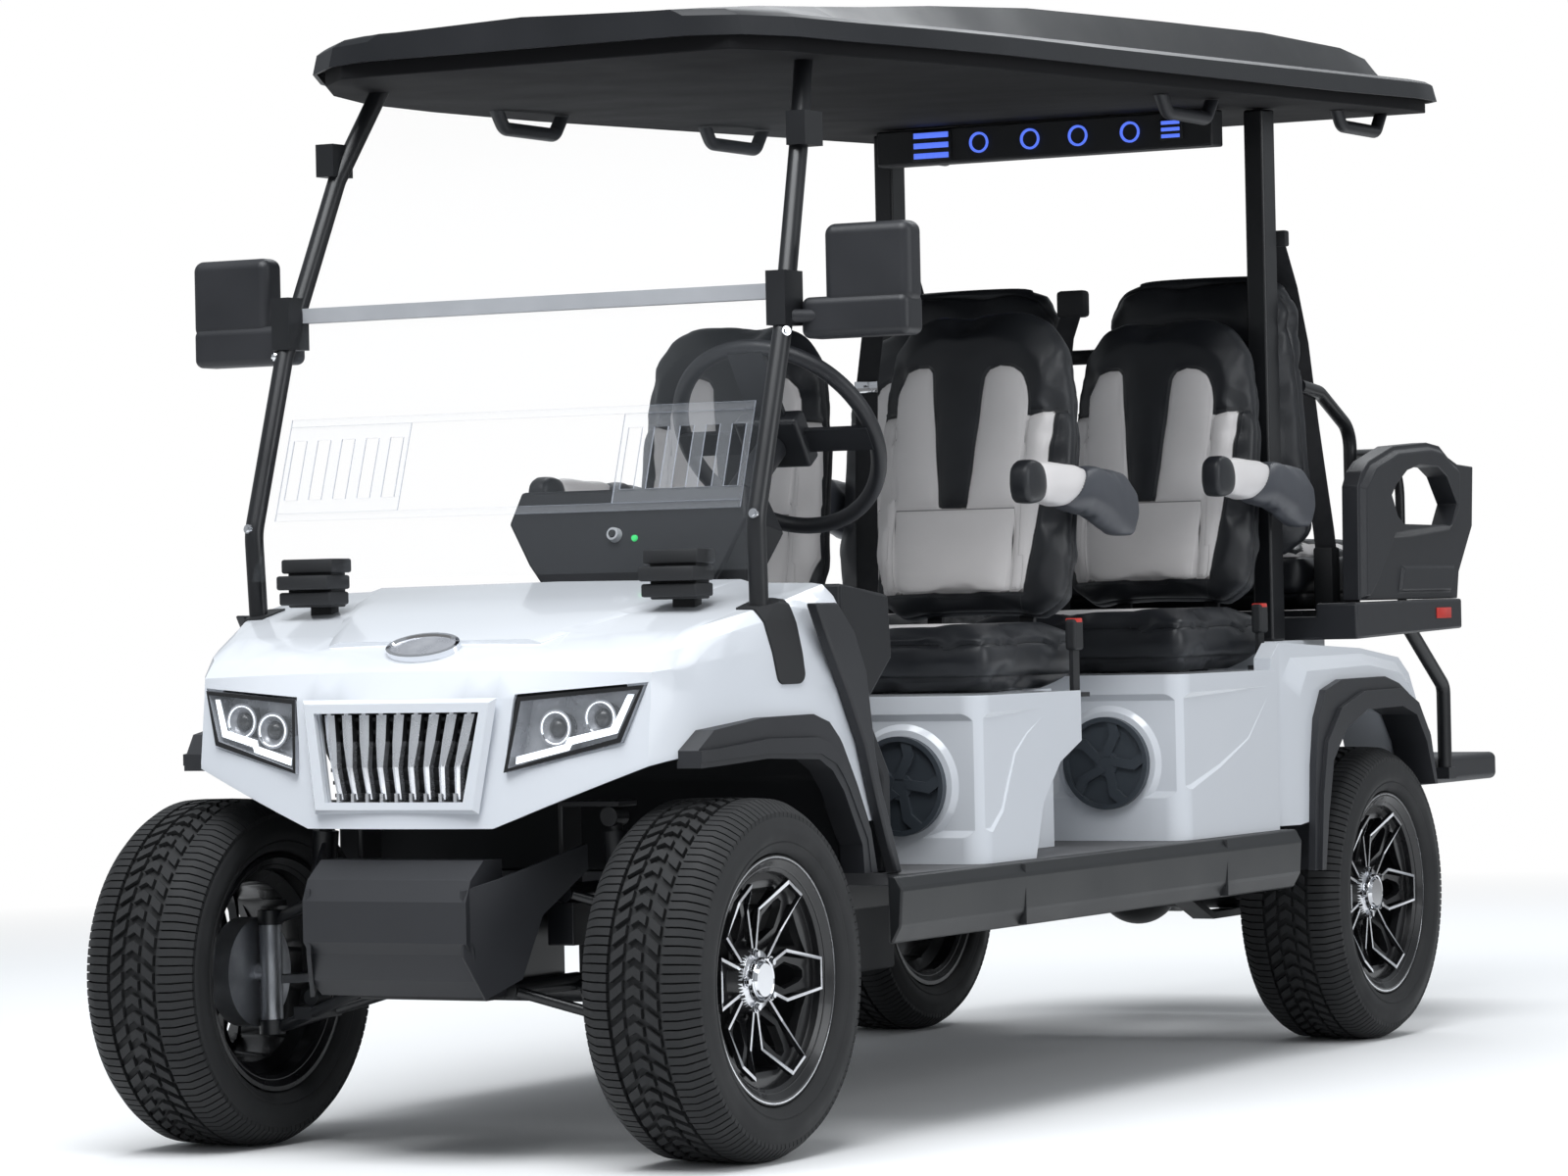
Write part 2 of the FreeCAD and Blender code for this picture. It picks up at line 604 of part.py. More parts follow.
def post_channel(gap):
    # block that the cover of a post's foot fills, narrower and rounded at its low end
    half = s.footHalf - gap
    low = 762 + gap
    line = [(s.postFootY - 22 - half, 950), (s.postFootY - 22 + half, 950), (s.postFootY + 24 + half * 0.8, low),
            (s.postFootY + 24 - half * 0.8, low)]
    block = extruded([(s.postFootX - 66 + gap, front(y), z) for y, z in line], (110, 0, 0))
    return softened(block, 16 - gap, lambda edge: along(Vector(1, 0, 0))(edge) and edge.BoundBox.ZMax < 800)


def post_covers():
    # dark covers of the posts' feet, a little proud of the hood
    proud = hood_solid()
    proud.translate(Vector(3, -1, 3))
    points = [(x, front(y), z) for x, y, z in post_line]
    cover = post_channel(s.seatGap).common(proud)
    cover = cover.cut([box((0, front(0), 600), (s.postFootX - 40, front(300), 860)),
                       tube(points, s.postRadius + s.seatGap, 90)])
    moulded("post_covers", both_sides(cover))


def lamp_outline(gap):
    return [(199 + gap, 632 + gap), (390 - gap, 678 + gap), (422 - gap, 769 - gap), (213 + gap, 753 - gap)]


def lamp_face(x, z):
    # the lamp glass lies in one plane that leans back and sweeps round the corner
    return -214 + 0.2095 * (x - 199) + 0.1741 * (z - 632)


def lamp_layer(gap, start, end):
    # a slab of the lamp's outline between two depths behind its glass
    corners = lamp_outline(gap)
    return lofted([[(x, front(lamp_face(x, z) + d), z) for x, z in corners] for d in (start, end)])


def headlamps():
    bezel = s.lampBezel
    lens = lamp_layer(bezel + s.seatGap, 4, 7)
    house = lamp_layer(s.seatGap, 4, 60).cut(lamp_layer(bezel, -20, s.lampDepth))
    # two round lamps on the back plate and a light strip along the low and outer edges
    for x, z in ((272, 702), (345, 717)):
        y = front(lamp_face(x, z))
        house = house.fuse(Part.makeCone(24, 30, s.lampDepth - 16, Vector(x, y + s.lampDepth + 4, z), Vector(0, -1, 0)))
        house = house.cut(Part.makeSphere(26, Vector(x, y + 8, z)))
        house = house.fuse(Part.makeSphere(15, Vector(x, y + s.lampDepth - 8, z)))
    strip = [(214, 647), (302, 668), (306, 677), (378, 694), (402, 754), (394, 754), (372, 701), (300, 685),
             (297, 675), (214, 655)]
    strip = [[(x, front(lamp_face(x, z) + d), z) for x, z in strip] for d in (12, s.lampDepth + 2)]
    house = house.fuse(lofted(strip)).removeSplitter()
    moulded("headlamps", both_sides(house))
    moulded("headlamp_lenses", both_sides(lens))


def grille():
    # dark slats behind upright bars that bend back at a third of their height
    opening = [(-131.7, 586.3), (131.7, 586.3), (157.7, 729.7), (-157.7, 729.7)]
    pieces = [extruded([(x, front(-186), z) for x, z in opening], (0, 6, 0))]
    for i in range(int(s.slatCount)):
        z = 586.3 + 143.4 * (i + 0.5) / s.slatCount
        half = 130 + 26 * (i + 0.5) / s.slatCount
        pieces.append(box((-half, front(-196), z - 3), (half, front(-185), z + 3)))
    bars = int(s.barCount)
    for i in range(bars):
        low = (i - (bars - 1) / 2) * s.barPitch
        levels = [(590, low, 5, -212), (642, low * 1.05, 5.5, -221), (684, low * 1.13, 9, -214), (727, low * 1.2, 9.5, -207)]
        sections = [[(x - half, front(y + 16), z), (x - half, front(y + 3), z), (x, front(y), z),
                     (x + half, front(y + 3), z), (x + half, front(y + 16), z)] for z, x, half, y in levels]
        pieces.append(lofted(sections))
        foot = box((levels[0][1] - 3, front(-218), 586.3), (levels[0][1] + 3, front(-182), 600))
        head = box((levels[-1][1] - 4, front(-206), 717), (levels[-1][1] + 4, front(-182), 729.7))
        pieces += [foot, head]
    moulded("grille", fused(pieces))


def front_bumper():
    # centre block, side wings that run back inside the wheels, and the skid below
    profile = [(-262, 362), (-262, 428), (-246, 462), (-206, 492), (-150.3, 492), (-150.3, 340), (-244, 340)]
    block = extruded([(-156, front(y), z) for y, z in profile], (312, 0, 0))
    start, end = Vector(150, front(-262), 0), Vector(262, front(-40), 0)
    heading = (end - start).normalize()
    inward = Vector(-heading.y, heading.x, 0)
    wing = [(0, 340), (0, 446), (70, 462), (238, 512), (238, 470), (150, 400), (110, 300), (40, 270)]
    points = [tuple(start + heading * a + Vector(0, 0, z)) for a, z in wing]
    side = extruded(points, tuple(inward * 7))
    skid = [(-250, 362), (-236, 300), (-205, 272), (-150.3, 272), (-150.3, 284), (-200, 286), (-226, 306), (-238, 345)]
    lower = extruded([(-160, front(y), z) for y, z in skid], (320, 0, 0))
    shape = fused([block, side, flip(side), lower])
    moulded("front_bumper", shape)


def flare_plan(inset):
    # plan of the front flare's outer face, which follows the hood's flank, moved inward
    line = ((499, -104), (512, -60), (528, 40), (545, 150), (556, 220), (564, 262), (564, 400))
    return [(x - inset, d) for x, d in line]


def flare_band(outline, near, far):
    # side outline of a front flare between two insets from its outer face
    plan = flare_plan(near) + flare_plan(far)[::-1]
    side = extruded([(380, front(y), z) for y, z in outline], (200, 0, 0))
    return side.common(extruded([(x, front(d), 380) for x, d in plan], (0, 0, 400)))


def flares():
    # bands over the wheel openings, the front ones with a thicker low edge and a lip turned into the arch
    gap = s.seatGap
    top = [(-98, 662), (-62, 694), (64, 710), (196, 712), (237, 698), (272, 661), (320, 593), (358, 530), (378, 445)]
    low = [(352, 445), (342, 500), (281, 586), (244, 629), (204, 647), (70, 652), (-98, 643)]
    edge = [(-98, 662), (-60, 664), (70, 676), (200, 674), (234, 662), (260, 638), (303, 588), (352, 516), (372, 445)]
    block = hood_solid()
    outer = flare_band(top + low, 7, 60).fuse(flare_band(edge + low, 0, 60))
    for shift in ((0, 0, 0), (gap, 0, 0), (0, -gap, 0)):
        moved = block.copy()
        moved.translate(Vector(*shift))
        outer = outer.cut(moved)
    arch = [(d, z - gap) for d, z in arch_line[1:-1]]
    turned_in = [(d, z) for d, z in arch] + [(355, 445), (330, 445), (325, 492), (268, 578), (236, 618), (202, 638),
                                             (70, 644), (-98, 634)]
    lip = flare_band(turned_in, 2, 46)
    first = outer.fuse(lip).removeSplitter()
    first = first.cut(box((s.hoodHalf - s.shellWall - gap, front(250), 528), (s.hoodHalf + gap, front(402), 700)).common(
        extruded([(500, front(y), z) for y, z in ((280 - gap, 700), (300, 800), (420, 560), (402, 530 - gap),
                                                  (366 - gap, 530 - gap), (326 - gap, 596 - gap), (292 - gap, 644))],
                 (80, 0, 0))))
    first = max(first.Solids, key=lambda solid: solid.Volume)
    upper = extruded([(s.fenderHalf + gap, rear(y), z) for y, z in rear_edge + rear_opening(0)], (14, 0, 0))
    rolled = extruded([(s.fenderHalf + gap, rear(y), z) for y, z in rear_mid + rear_opening(0)], (22, 0, 0))
    collar = extruded([(548, rear(y), z) for y, z in rear_opening(6)[::-1] + rear_opening(0)], (60, 0, 0))
    last = fused([upper, rolled, collar])
    moulded("wheel_flares", Part.makeCompound([first, flip(first), last, flip(last)]))


# side outlines of the rear flare: its outer edge, the step on its face and the wheel opening below it
rear_edge = [(-386, 356), (-370, 560), (-352, 650), (-314, 704), (-232, 723), (-11, 724), (61, 709), (106, 690),
             (152, 668), (222, 606), (246, 500)]
rear_mid = [(-370, 356), (-354, 500), (-326, 604), (-254, 668), (-135, 698), (59, 699), (146, 668), (206, 600), (238, 500)]


def rear_opening(away):
    # the wheel opening, moved away from the axle, from the rear foot round to the front one
    line = [(224, 500), (184, 588), (133, 644), (59, 663), (-124, 661), (-233, 626), (-300, 567), (-330, 459), (-350, 356)]
    moved = []
    for y, z in line:
        reach = math.hypot(y, z - s.archCentre)
        moved.append((y + away * y / reach, z + away * (z - s.archCentre) / reach))
    return moved


def cowl_trims():
    # crescent that runs from the hood's rear corner down to the sill, outside the flank
    line = [(165, 893), (213, 821), (267, 748), (325, 658), (366, 559), (397, 492), (424, 440.3), (446, 440.3),
            (414, 511), (382, 577), (360, 640), (350, 700), (334, 779), (296, 844), (237, 893)]
    shape = extruded([(s.hoodHalf + s.seatGap, front(y), z) for y, z in line], (22, 0, 0))
    moulded("cowl_trims", both_sides(shape))


def dashboard():
    # firewall behind the front wheels with the dash above it and the meter pod on the driver's side
    line = [(432, 440.3), (432, 600), (345, 705), (300.3, 760), (300.3, 925), (470, 905), (480, 800), (380, 720),
            (464, 606), (464, 440.3)]
    firewall = extruded([(-544, front(y), z) for y, z in line], (1088, 0, 0))
    pod = []
    for left, right, near, far, low, high in ((-40, 250, 352, 486, 900, 890), (-100, 290, 368, 505, 968, 950),
                                              (-150, 320, 388, 522, 1040, 1014), (-138, 308, 412, 480, 1096, 1084)):
        pod.append([(left, front(near), low), (right, front(near), low), (right, front(far), high), (left, front(far), high)])
    pod = lofted(pod)
    moulded("dashboard", fused([firewall, pod]))


# Windshield

post_line = [(490, 119, 890), (492, 112, 1033), (491, 215, 1338), (459, 343, 1649), (420, 444, 1830)]


def windshield():
    points = [(x, front(y), z) for x, y, z in post_line]
    cover = roof_liner_shape()
    clamps = [box((470, front(200), 1350), (506, front(262), 1440)), box((450, front(318), 1655), (486, front(380), 1712))]
    post = fused([seated(tube(points, s.postRadius, 90), cover)] + clamps)
    moulded("windshield_posts", both_sides(post))
    clear = tube(points, s.postRadius + s.seatGap, 90)
    for clamp in clamps:
        low, high = clamp.BoundBox, s.seatGap
        clear = clear.fuse(box((low.XMin - high, low.YMin - high, low.ZMin - high),
                               (low.XMax + high, low.YMax + high, low.ZMax + high)))
    clear = both_sides(clear)
    lower = lofted([pane_edge(92, 950, 484), pane_edge(245, 1396, 484)])
    upper = lofted([pane_edge(256, 1422, 482), pane_edge(425, 1800, 430)])
    moulded("windshield_glass", Part.makeCompound([lower.cut(clear), upper.cut(clear)]))
    bar = box((-484, front(240), 1396.3), (484, front(266), 1421.7)).cut(clear)
    moulded("windshield_hinge_bar", bar)
    # clear strips across the lower pane, with a slotted shutter at each side
    pieces = [strip(z, z + 13, -456, 456) for z in (1052, 1214)]
    for side in (1, -1):
        low, high = (210, 456) if side > 0 else (-456, -210)
        shutter = strip(1065.3, 1213.7, low, high)
        for i in range(5):
            middle = low + (high - low) * (i + 0.5) / 5
            shutter = shutter.cut(box((middle - 13, front(0), 1088), (middle + 13, front(300), 1190)))
        pieces.append(shutter)
    moulded("windshield_vents", Part.makeCompound(pieces))
    latch = box((300, front(52), 860), (376, front(88), 990))
    above = hood_solid()
    above.translate(Vector(0, 0, s.seatGap))
    latch = max(latch.cut(above).Solids, key=lambda solid: solid.BoundBox.ZMax)
    moulded("windshield_latches", both_sides(latch))
    arm = rod((500, front(229), 1365), (560, front(280), 1365), 11).cut(clear)
    head = softened(box((549, front(250), 1380), (709, front(306), 1515)), 18)
    step = softened(box((507, front(246), 1328), (705, front(312), 1396)), 14)
    moulded("side_mirrors", both_sides(fused([arm, head, step])))


def strip(low, high, left, right):
    # a slab 4 mm thick that lies just in front of the lower pane between two heights
    def depth(z):
        return 92 + (245 - 92) * (z - 950) / (1396 - 950) - s.seatGap
    return lofted([[(left, front(depth(z) - 4), z), (right, front(depth(z) - 4), z), (right, front(depth(z)), z),
                    (left, front(depth(z)), z)] for z in (low, high)])


def pane_edge(d, z, half):
    return [(-half, front(d), z), (half, front(d), z), (half, front(d + 5), z), (-half, front(d + 5), z)]


# Roof

def roof_height(d):
    # height of the skirt's lower edge at a distance behind the front axle
    run = (d - s.roofBend) / 1000
    return s.roofLow + (22 * run + 4.5 * run ** 2 if run > 0 else 150 * run ** 2)


def roof_stations():
    # distance behind the front axle, half width and rise of the crown over the band round the edge
    return [(222, 320, 5), (250, 410, 9), (308, 482, 16), (420, 540, 26), (600, 588, 40), (850, 612, 58),
            (1240, s.roofHalf, 78), (1800, s.roofHalf, 86), (2300, s.roofHalf, 88), (2700, s.roofHalf, 74),
            (2830, 604, 56), (2880, 588, 8), (2930, 550, 5), (2970, 450, 3)]


def roof_shell_shape():
    outer = []
    inner = []
    skin = s.roofSkin
    last = len(roof_stations()) - 1
    for i, (d, half, rise) in enumerate(roof_stations()):
        low = roof_height(d)
        top = low + s.roofBand
        crown = min(s.crownHalf, half - 74)
        side = [(half, low), (half - 9, top - 7), (half - 22, top), (crown + 40, top + 5), (crown, top + rise)]
        outer.append([(x, front(d), z) for x, z in side] + [(0, front(d), top + rise + 8)] +
                     [(-x, front(d), z) for x, z in side[::-1]])
        y = front(d) + (skin if i == 0 else -skin if i == last else 0)
        side = [(half - skin, low - 5), (half - skin - 9, top - 14), (half - 26, top - skin),
                (crown + 34, top + 5 - skin), (crown - 6, top + rise - skin)]
        inner.append([(x, y, z) for x, z in side] + [(0, y, top + rise + 8 - skin)] + [(-x, y, z) for x, z in side[::-1]])
    return lofted(outer).cut(lofted(inner))


def roof_liner_shape():
    # flat tray under the crown that the posts carry
    sections = []
    for d, half, rise in roof_stations()[1:-2]:
        half -= s.linerInset
        low = roof_height(d) - s.linerDrop
        high = roof_height(d) + s.roofBand - s.roofSkin - s.seatGap
        sections.append([(-half, front(d), low), (half, front(d), low), (half, front(d), high), (-half, front(d), high)])
    return lofted(sections)


def seated(shape, cover):
    # ends the shape just under the cover
    low = cover.copy()
    low.translate(Vector(0, 0, -s.seatGap))
    cut = shape.cut(low)
    return min(cut.Solids, key=lambda solid: solid.BoundBox.ZMin)


def roof():
    liner = roof_liner_shape()
    moulded("roof_shell", roof_shell_shape())
    moulded("roof_liner", liner)
    # grab handles at every seat but the driver's
    handles = []
    for d in (1050, 1830, 2680):
        z = roof_height(d) + 20
        line = [(495, front(d - s.handleReach), z), (495, front(d - 90), z - s.handleDrop),
                (495, front(d + 90), z - s.handleDrop), (495, front(d + s.handleReach), z)]
        grip = seated(tube(line, s.handleRadius, 24), liner)
        handles += [flip(grip)] if d == 1050 else [grip, flip(grip)]
    moulded("roof_handles", Part.makeCompound(handles))
    bar_z = roof_height(2250)
    bar = box((-375, front(2215), bar_z - 95), (375, front(2270), bar_z + 10))
    moulded("overhead_light_bar", seated(bar, liner))


def rear_posts():
    y = s.rearAxle - s.rearPostBehind
    top = roof_height(s.wheelbase - s.rearPostBehind) + 10
    post = box((s.rearPostHalf - s.rearPostWidth / 2, y - s.rearPostDepth / 2, s.deckTop + s.seatGap),
               (s.rearPostHalf + s.rearPostWidth / 2, y + s.rearPostDepth / 2, top))
    moulded("rear_posts", both_sides(seated(post, roof_liner_shape())))


# Seats

def seat_boxes():
    boxes = []
    for letter in ("A", "B"):
        start = "frontAxle + boxFront" + letter
        top = "boxTop" + letter
        if letter == "A":
            outline = [(start, "floorTop + seatGap"), (start + " + boxLengthA * 0.52", "floorTop + seatGap"),
                       (start + " + boxLengthA * 0.6", "floorTop + 95"),
                       (start + " + boxLengthA * 0.78", "floorTop + 165"),
                       (start + " + boxLengthA", "floorTop + 200"), (start + " + boxLengthA", top), (start, top)]
            hollow = ((-90, 484, 700), (40, 493, 700), (82, 526, 700), (106, 573, 701), (134, 624, 701), (182, 658, 702),
                      (250, 690, 703))
        else:
            outline = [(start, "floorTop + seatGap"), (start + " + boxLengthB", "floorTop + seatGap"),
                       (start + " + boxLengthB", top), (start, top)]
            hollow = ((-90, 518, 714), (40, 533, 715), (170, 570, 716), (301, 619, 717), (400, 702, 718))
        body = prism("seatBox" + letter, "X", outline, "-boxHalf", "2 * boxHalf")
        rounded(body, "40", lambda edge: along(Vector(0, 0, 1))(edge) and edge.BoundBox.YMin < mm(start) + 1)
        core = sketch(body, "X", [(start + " + 60", "floorTop + seatGap"), (start + " + coreDepth", "floorTop + seatGap"),
                                  (start + " + coreDepth", top), (start + " + 60", top)], "-coreHalf")
        pad = body.newObject("PartDesign::Pad", "core" + letter)
        pad.Profile = core
        bind(pad, {"Length": "2 * coreHalf"})
        cutter = doc.addObject("Part::Feature", "hollow" + letter)
        cutter.Shape = box_hollows(mm(start), hollow, mm("speakerHeight" + letter))
        panelled = doc.addObject("Part::Cut", "panelled" + letter)
        panelled.Base = body
        panelled.Tool = cutter
        boxes.append(panelled)
    group("seat_boxes", boxes)


def box_hollows(start, stations, speaker_z):
    # cutter for the shallow hollows in the sides and the front of a seat box, which leave a ring at each speaker
    deep = s.hollowDepth
    slope = 2 * deep
    tip = stations[-1][0]
    faces = []
    for outside in (True, False):
        low, high = [], []
        for d, below, above in stations:
            share = (tip - d) / (tip - stations[0][0])
            x = s.boxHalf + 1 if outside else s.boxHalf - deep * share
            inset = 0 if outside else min(slope * share, (above - below) / 2 - 1)
            low.append((x, start + d, below + inset))
            high.append((x, start + d, above - inset))
        faces.append(low + high[::-1])
    side = lofted(faces)
    below, above = stations[0][1:]
    inner = s.speakerX - s.speakerRadius - 34
    outer = s.boxHalf + 60
    plates = [[(inner + inset, y, below + inset), (outer, y, below + inset), (outer, y, above - inset),
               (inner + inset, y, above - inset)] for y, inset in ((start - 1, 0), (start + deep, slope))]
    ring = Part.makeCone(s.speakerRadius + 9, s.speakerRadius + 22, deep + 2, Vector(s.speakerX, start - 1, speaker_z),
                         Vector(0, 1, 0))
    face = lofted(plates).cut(ring)
    return Part.makeCompound([side, face, flip(side), flip(face)])


def rear_body():
    # white body over the rear wheels: two sides with open arches, raised fenders and the deck between them
    outline = [(-509.7, 446), (-509.7, 770), (-470, 799), (-280, 792), (-66, 782), (134, 760), (188, 727), (223, 677),
               (242, 600), (250, 505), (200, 505)]
    side = extruded([(440, rear(y), z) for y, z in outline], (148, 0, 0))
    foot = [(-480, 446), (-470, 730), (-425, 772), (-66, 774), (120, 752), (176, 720), (216, 672), (236, 600),
            (243, 505), (200, 505)]
    crest = [(-420, 446), (-412, 690), (-372, 742), (-60, 748), (100, 730), (150, 700), (196, 655), (222, 590),
             (236, 505), (200, 505)]
    fender = lofted([[(x, rear(y), z) for y, z in line] for x, line in ((586, foot), (s.fenderHalf, crest))])
    side = side.fuse(fender)
    opening = [(240, 300)] + rear_opening(6.3) + [(-356, 300)]
    well = extruded([(380, rear(y), z) for y, z in opening], (300, 0, 0))
    side = side.cut([well, box((430, rear(-520), s.boxTopB), (552, rear(-330), 810))])
    deck = box((-440, rear(-275), s.deckBottom), (440, rear(105), s.deckTop))
    moulded("rear_body", fused([side, flip(side), deck]))


def cushion(x0, x1, y0, y1, z0, z1, radius=26):
    return softened(box((x0, y0, z0), (x1, y1, z1)), radius)


def back(centre, width, y, z, facing=-1):
    # a seat back that leans away from the way it faces
    half = width / 2
    tall = s.backHeight
    side = [(0.68, 0), (0.9, 0.06), (1, 0.2), (1, 0.6), (0.93, 0.76), (0.82, 0.89), (0.62, 0.97), (0.4, 1)]
    outline = [(half * u, tall * v) for u, v in side] + [(-half * u, tall * v) for u, v in side[::-1]]
    shape = extruded([(u, 0, v) for u, v in outline], (0, s.backThick, 0))
    shape = softened(shape, 20, lambda edge: edge.BoundBox.YLength < 1)
    shape.rotate(Vector(0, 0, 0), Vector(1, 0, 0), -s.backLean)
    if facing > 0:
        shape = shape.mirror(Vector(0, 0, 0), Vector(0, 1, 0))
    shape.translate(Vector(centre, y, z))
    return shape


def back_line(distance, up):
    # offset from a back's foot of a point behind its front face and up along it
    lean = math.radians(s.backLean)
    return (distance * math.cos(lean) + up * math.sin(lean), up * math.cos(lean) - distance * math.sin(lean))


def seats():
    cushions, backs, brackets = [], [], []
    for number, top in ((0, s.boxTopA), (1, s.boxTopB)):
        start = front(s.boxFrontA + s.rowPitch * number + s.cushionLead)
        low = top + s.seatGap
        pad = cushion(s.seatInner, s.seatOuter, start, start + s.cushionDepth, low, low + s.cushionThick)
        foot_y = start + s.cushionDepth
        foot_z = low + s.cushionThick + 13
        piece = back(s.backCentre, s.backWidth, foot_y, foot_z)
        cushions += [pad, flip(pad)]
        backs += [piece, flip(piece)]
        near = s.backThick + s.seatGap
        line = [(2, low - foot_z), (28, low - foot_z), (28, low - foot_z + 24)]
        line += [back_line(near + 12, 0), back_line(near + 12, 190), back_line(near, 190), back_line(near, -8)]
        line += [(2, low - foot_z + 30)]
        for x in (s.backCentre - 110, s.backCentre + 80):
            bar = extruded([(x, foot_y + dy, foot_z + dz) for dy, dz in line], (30, 0, 0))
            brackets += [bar, flip(bar)]
    moulded("seat_cushions", Part.makeCompound(cushions))
    moulded("seat_backs", Part.makeCompound(backs))
    moulded("seat_brackets", Part.makeCompound(brackets))


def belt_buckles():
    # a stalk and a buckle at the outer side of each forward seat
    pieces = []
    for number, top in ((0, s.boxTopA), (1, s.boxTopB)):
        y = front(s.boxFrontA + s.rowPitch * number + s.cushionLead + s.cushionDepth * 0.78)
        x = s.seatOuter + 12
        foot = box((x - 4, y - 28, top + s.seatGap), (x + 26, y + 28, top + 8))
        if number == 0:
            foot = box((s.coreHalf + s.seatGap, y - 28, top - 14), (x + 26, y + 28, top - 6))
        stalk = box((x + 6, y - 13, foot.BoundBox.ZMax - 2), (x + 14, y + 13, top + 78))
        head = softened(box((x, y - 18, top + 70), (x + 22, y + 18, top + 126)), 6)
        pieces += [fused([foot, stalk, head])]
    moulded("belt_buckles", Part.makeCompound([half for piece in pieces for half in (piece, flip(piece))]))


def arm_pivot(number, top):
    # place of an armrest's pivot on the side of its seat back
    start = front(s.boxFrontA + s.rowPitch * number + s.cushionLead)
    dy, dz = back_line(s.backThick / 2, 230)
    return start + s.cushionDepth + dy, top + s.seatGap + s.cushionThick + 13 + dz


def armrests():
    for number, row, top in ((0, "front", s.boxTopA), (1, "middle", s.boxTopB)):
        y, z = arm_pivot(number, top)
        outer = s.backCentre + s.backWidth / 2 + s.seatGap
        line = [(-314, -18), (-325, 10), (-320, 46), (-296, 58), (-20, 54), (90, 38), (140, 4), (150, -34), (126, -74),
                (70, -78), (-40, -56), (-220, -26)]
        arm = softened(extruded([(outer + 8, y + dy, z + dz) for dy, dz in line], (66, 0, 0)), 10)
        arm = fused([arm, rod((outer, y, z), (outer + 12, y, z), 16)])
        moulded("armrest_%s_left" % row, arm)
        moulded("armrest_%s_right" % row, flip(arm))


def rear_seat():
    y = s.rearAxle
    front_y = y + s.trayFront
    side = [(front_y, s.deckTop + s.seatGap), (y + s.trayRear, s.deckTop + 15), (y + s.trayRear, s.trayTop),
            (front_y, s.trayTop - 4)]
    tray = extruded([(-s.trayHalf, d, z) for d, z in side], (2 * s.trayHalf, 0, 0))
    tray = tray.cut(box((-s.trayHalf + 90, front_y - 5, s.trayFloor), (s.trayHalf - 90, y + 900, s.trayTop + 10)))
    moulded("rear_tray", tray)
    base_low = s.trayFloor + s.seatGap
    base_top = base_low + 12
    near, far = y + s.trayRear - 475, y + s.trayRear - 60
    base = box((-400, near, base_low), (400, far, base_top))
    hinge_y = y + s.trayRear + 8
    hinge_z = (base_low + base_top) / 2
    for side in (1, -1):
        base = base.fuse(box((side * 300 - 20, far - 10, base_low), (side * 300 + 20, hinge_y, base_top)))
        base = base.fuse(rod((side * 300 - 20, hinge_y, hinge_z), (side * 300 + 20, hinge_y, hinge_z), 7.5))
    moulded("rear_seat_base", base.removeSplitter())
    pad = cushion(-400, 400, near, far, base_top + s.seatGap, base_low + 160, 30)
    moulded("rear_seat_cushion", pad)
    foot_y, foot_z = near - 30, s.trayFloor + 130
    moulded("rear_seat_backs", both_sides(back(230, 330, foot_y, foot_z, 1)))
    bars = []
    for up in (270, 430):
        dy, dz = back_line(s.backThick + s.seatGap + 15, up)
        bars.append(rod((-s.rearPostHalf + s.rearPostWidth / 2 + s.seatGap, foot_y - dy, foot_z + dz),
                        (s.rearPostHalf - s.rearPostWidth / 2 - s.seatGap, foot_y - dy, foot_z + dz), 15))
    # a hand rail at each side that rises from the tray, runs forward over the seat and has a hoop behind
    x = s.trayHalf - 90 - 20
    rail = tube([(x, rear(236), s.trayFloor + s.seatGap), (x, rear(236), 1226), (x, rear(80), 1300), (x, rear(-20), 1310)],
                14, 60)
    hoop = tube([(x, rear(236), 1176), (x, rear(500), 1184), (x, rear(500), s.trayFloor + s.seatGap)], 10, 90)
    moulded("rear_seat_frame", Part.makeCompound(bars + [side for shape in [fused([rail, hoop])]
                                                         for side in (shape, flip(shape))]))


def rear_arms():
    # side arms of the rear seat: thick moulded plates with an open grip at the top
    low = s.trayTop + s.seatGap
    outline = [(42, low), (48, 1107), (70, 1136), (107, 1158), (239, 1191), (423, 1201), (491, 1195), (540, 1172),
               (592, 1158), (680, 1154), (669, 1029), (588, 932), (576, low)]
    opening = [(200, 1090), (226, 1112), (285, 1141), (353, 1153), (454, 1150), (504, 1131), (560, 1074), (534, 1042),
               (524, 1029), (263, 1031), (230, 1047)]
    plate = extruded([(508, rear(y), z) for y, z in outline], (36, 0, 0))
    # the outer face is raised round the grip and down the front edge, with a sunk panel below
    raised = [(46, low + 3), (54, 1104), (112, 1152), (240, 1184), (423, 1194), (488, 1188), (540, 1165), (590, 1151),
              (584, 1060), (540, 1020), (300, 1004), (228, 1003), (124, 903), (84, low + 3)]
    crest = [(58, low + 10), (66, 1100), (120, 1142), (244, 1174), (423, 1184), (484, 1178), (536, 1154), (576, 1140),
             (572, 1066), (532, 1032), (290, 1018), (214, 1012), (112, 912), (74, low + 10)]
    panel = lofted([[(x, rear(y), z) for y, z in line] for x, line in ((543, raised), (556, crest))])
    low_panel = [(270, 946), (560, 946), (536, 890), (250, 890)]
    plinth = [[(x, rear(y + dy), z + dz) for (y, z), (dy, dz) in zip(low_panel, shift)] for x, shift in
              ((543, ((0, 0),) * 4), (550, ((8, -6), (-10, -6), (-8, 6), (8, 6))))]
    plate = fused([plate, panel, lofted(plinth)])
    plate = plate.cut(extruded([(480, rear(y), z) for y, z in opening], (100, 0, 0)))
    moulded("rear_side_arms", both_sides(plate))


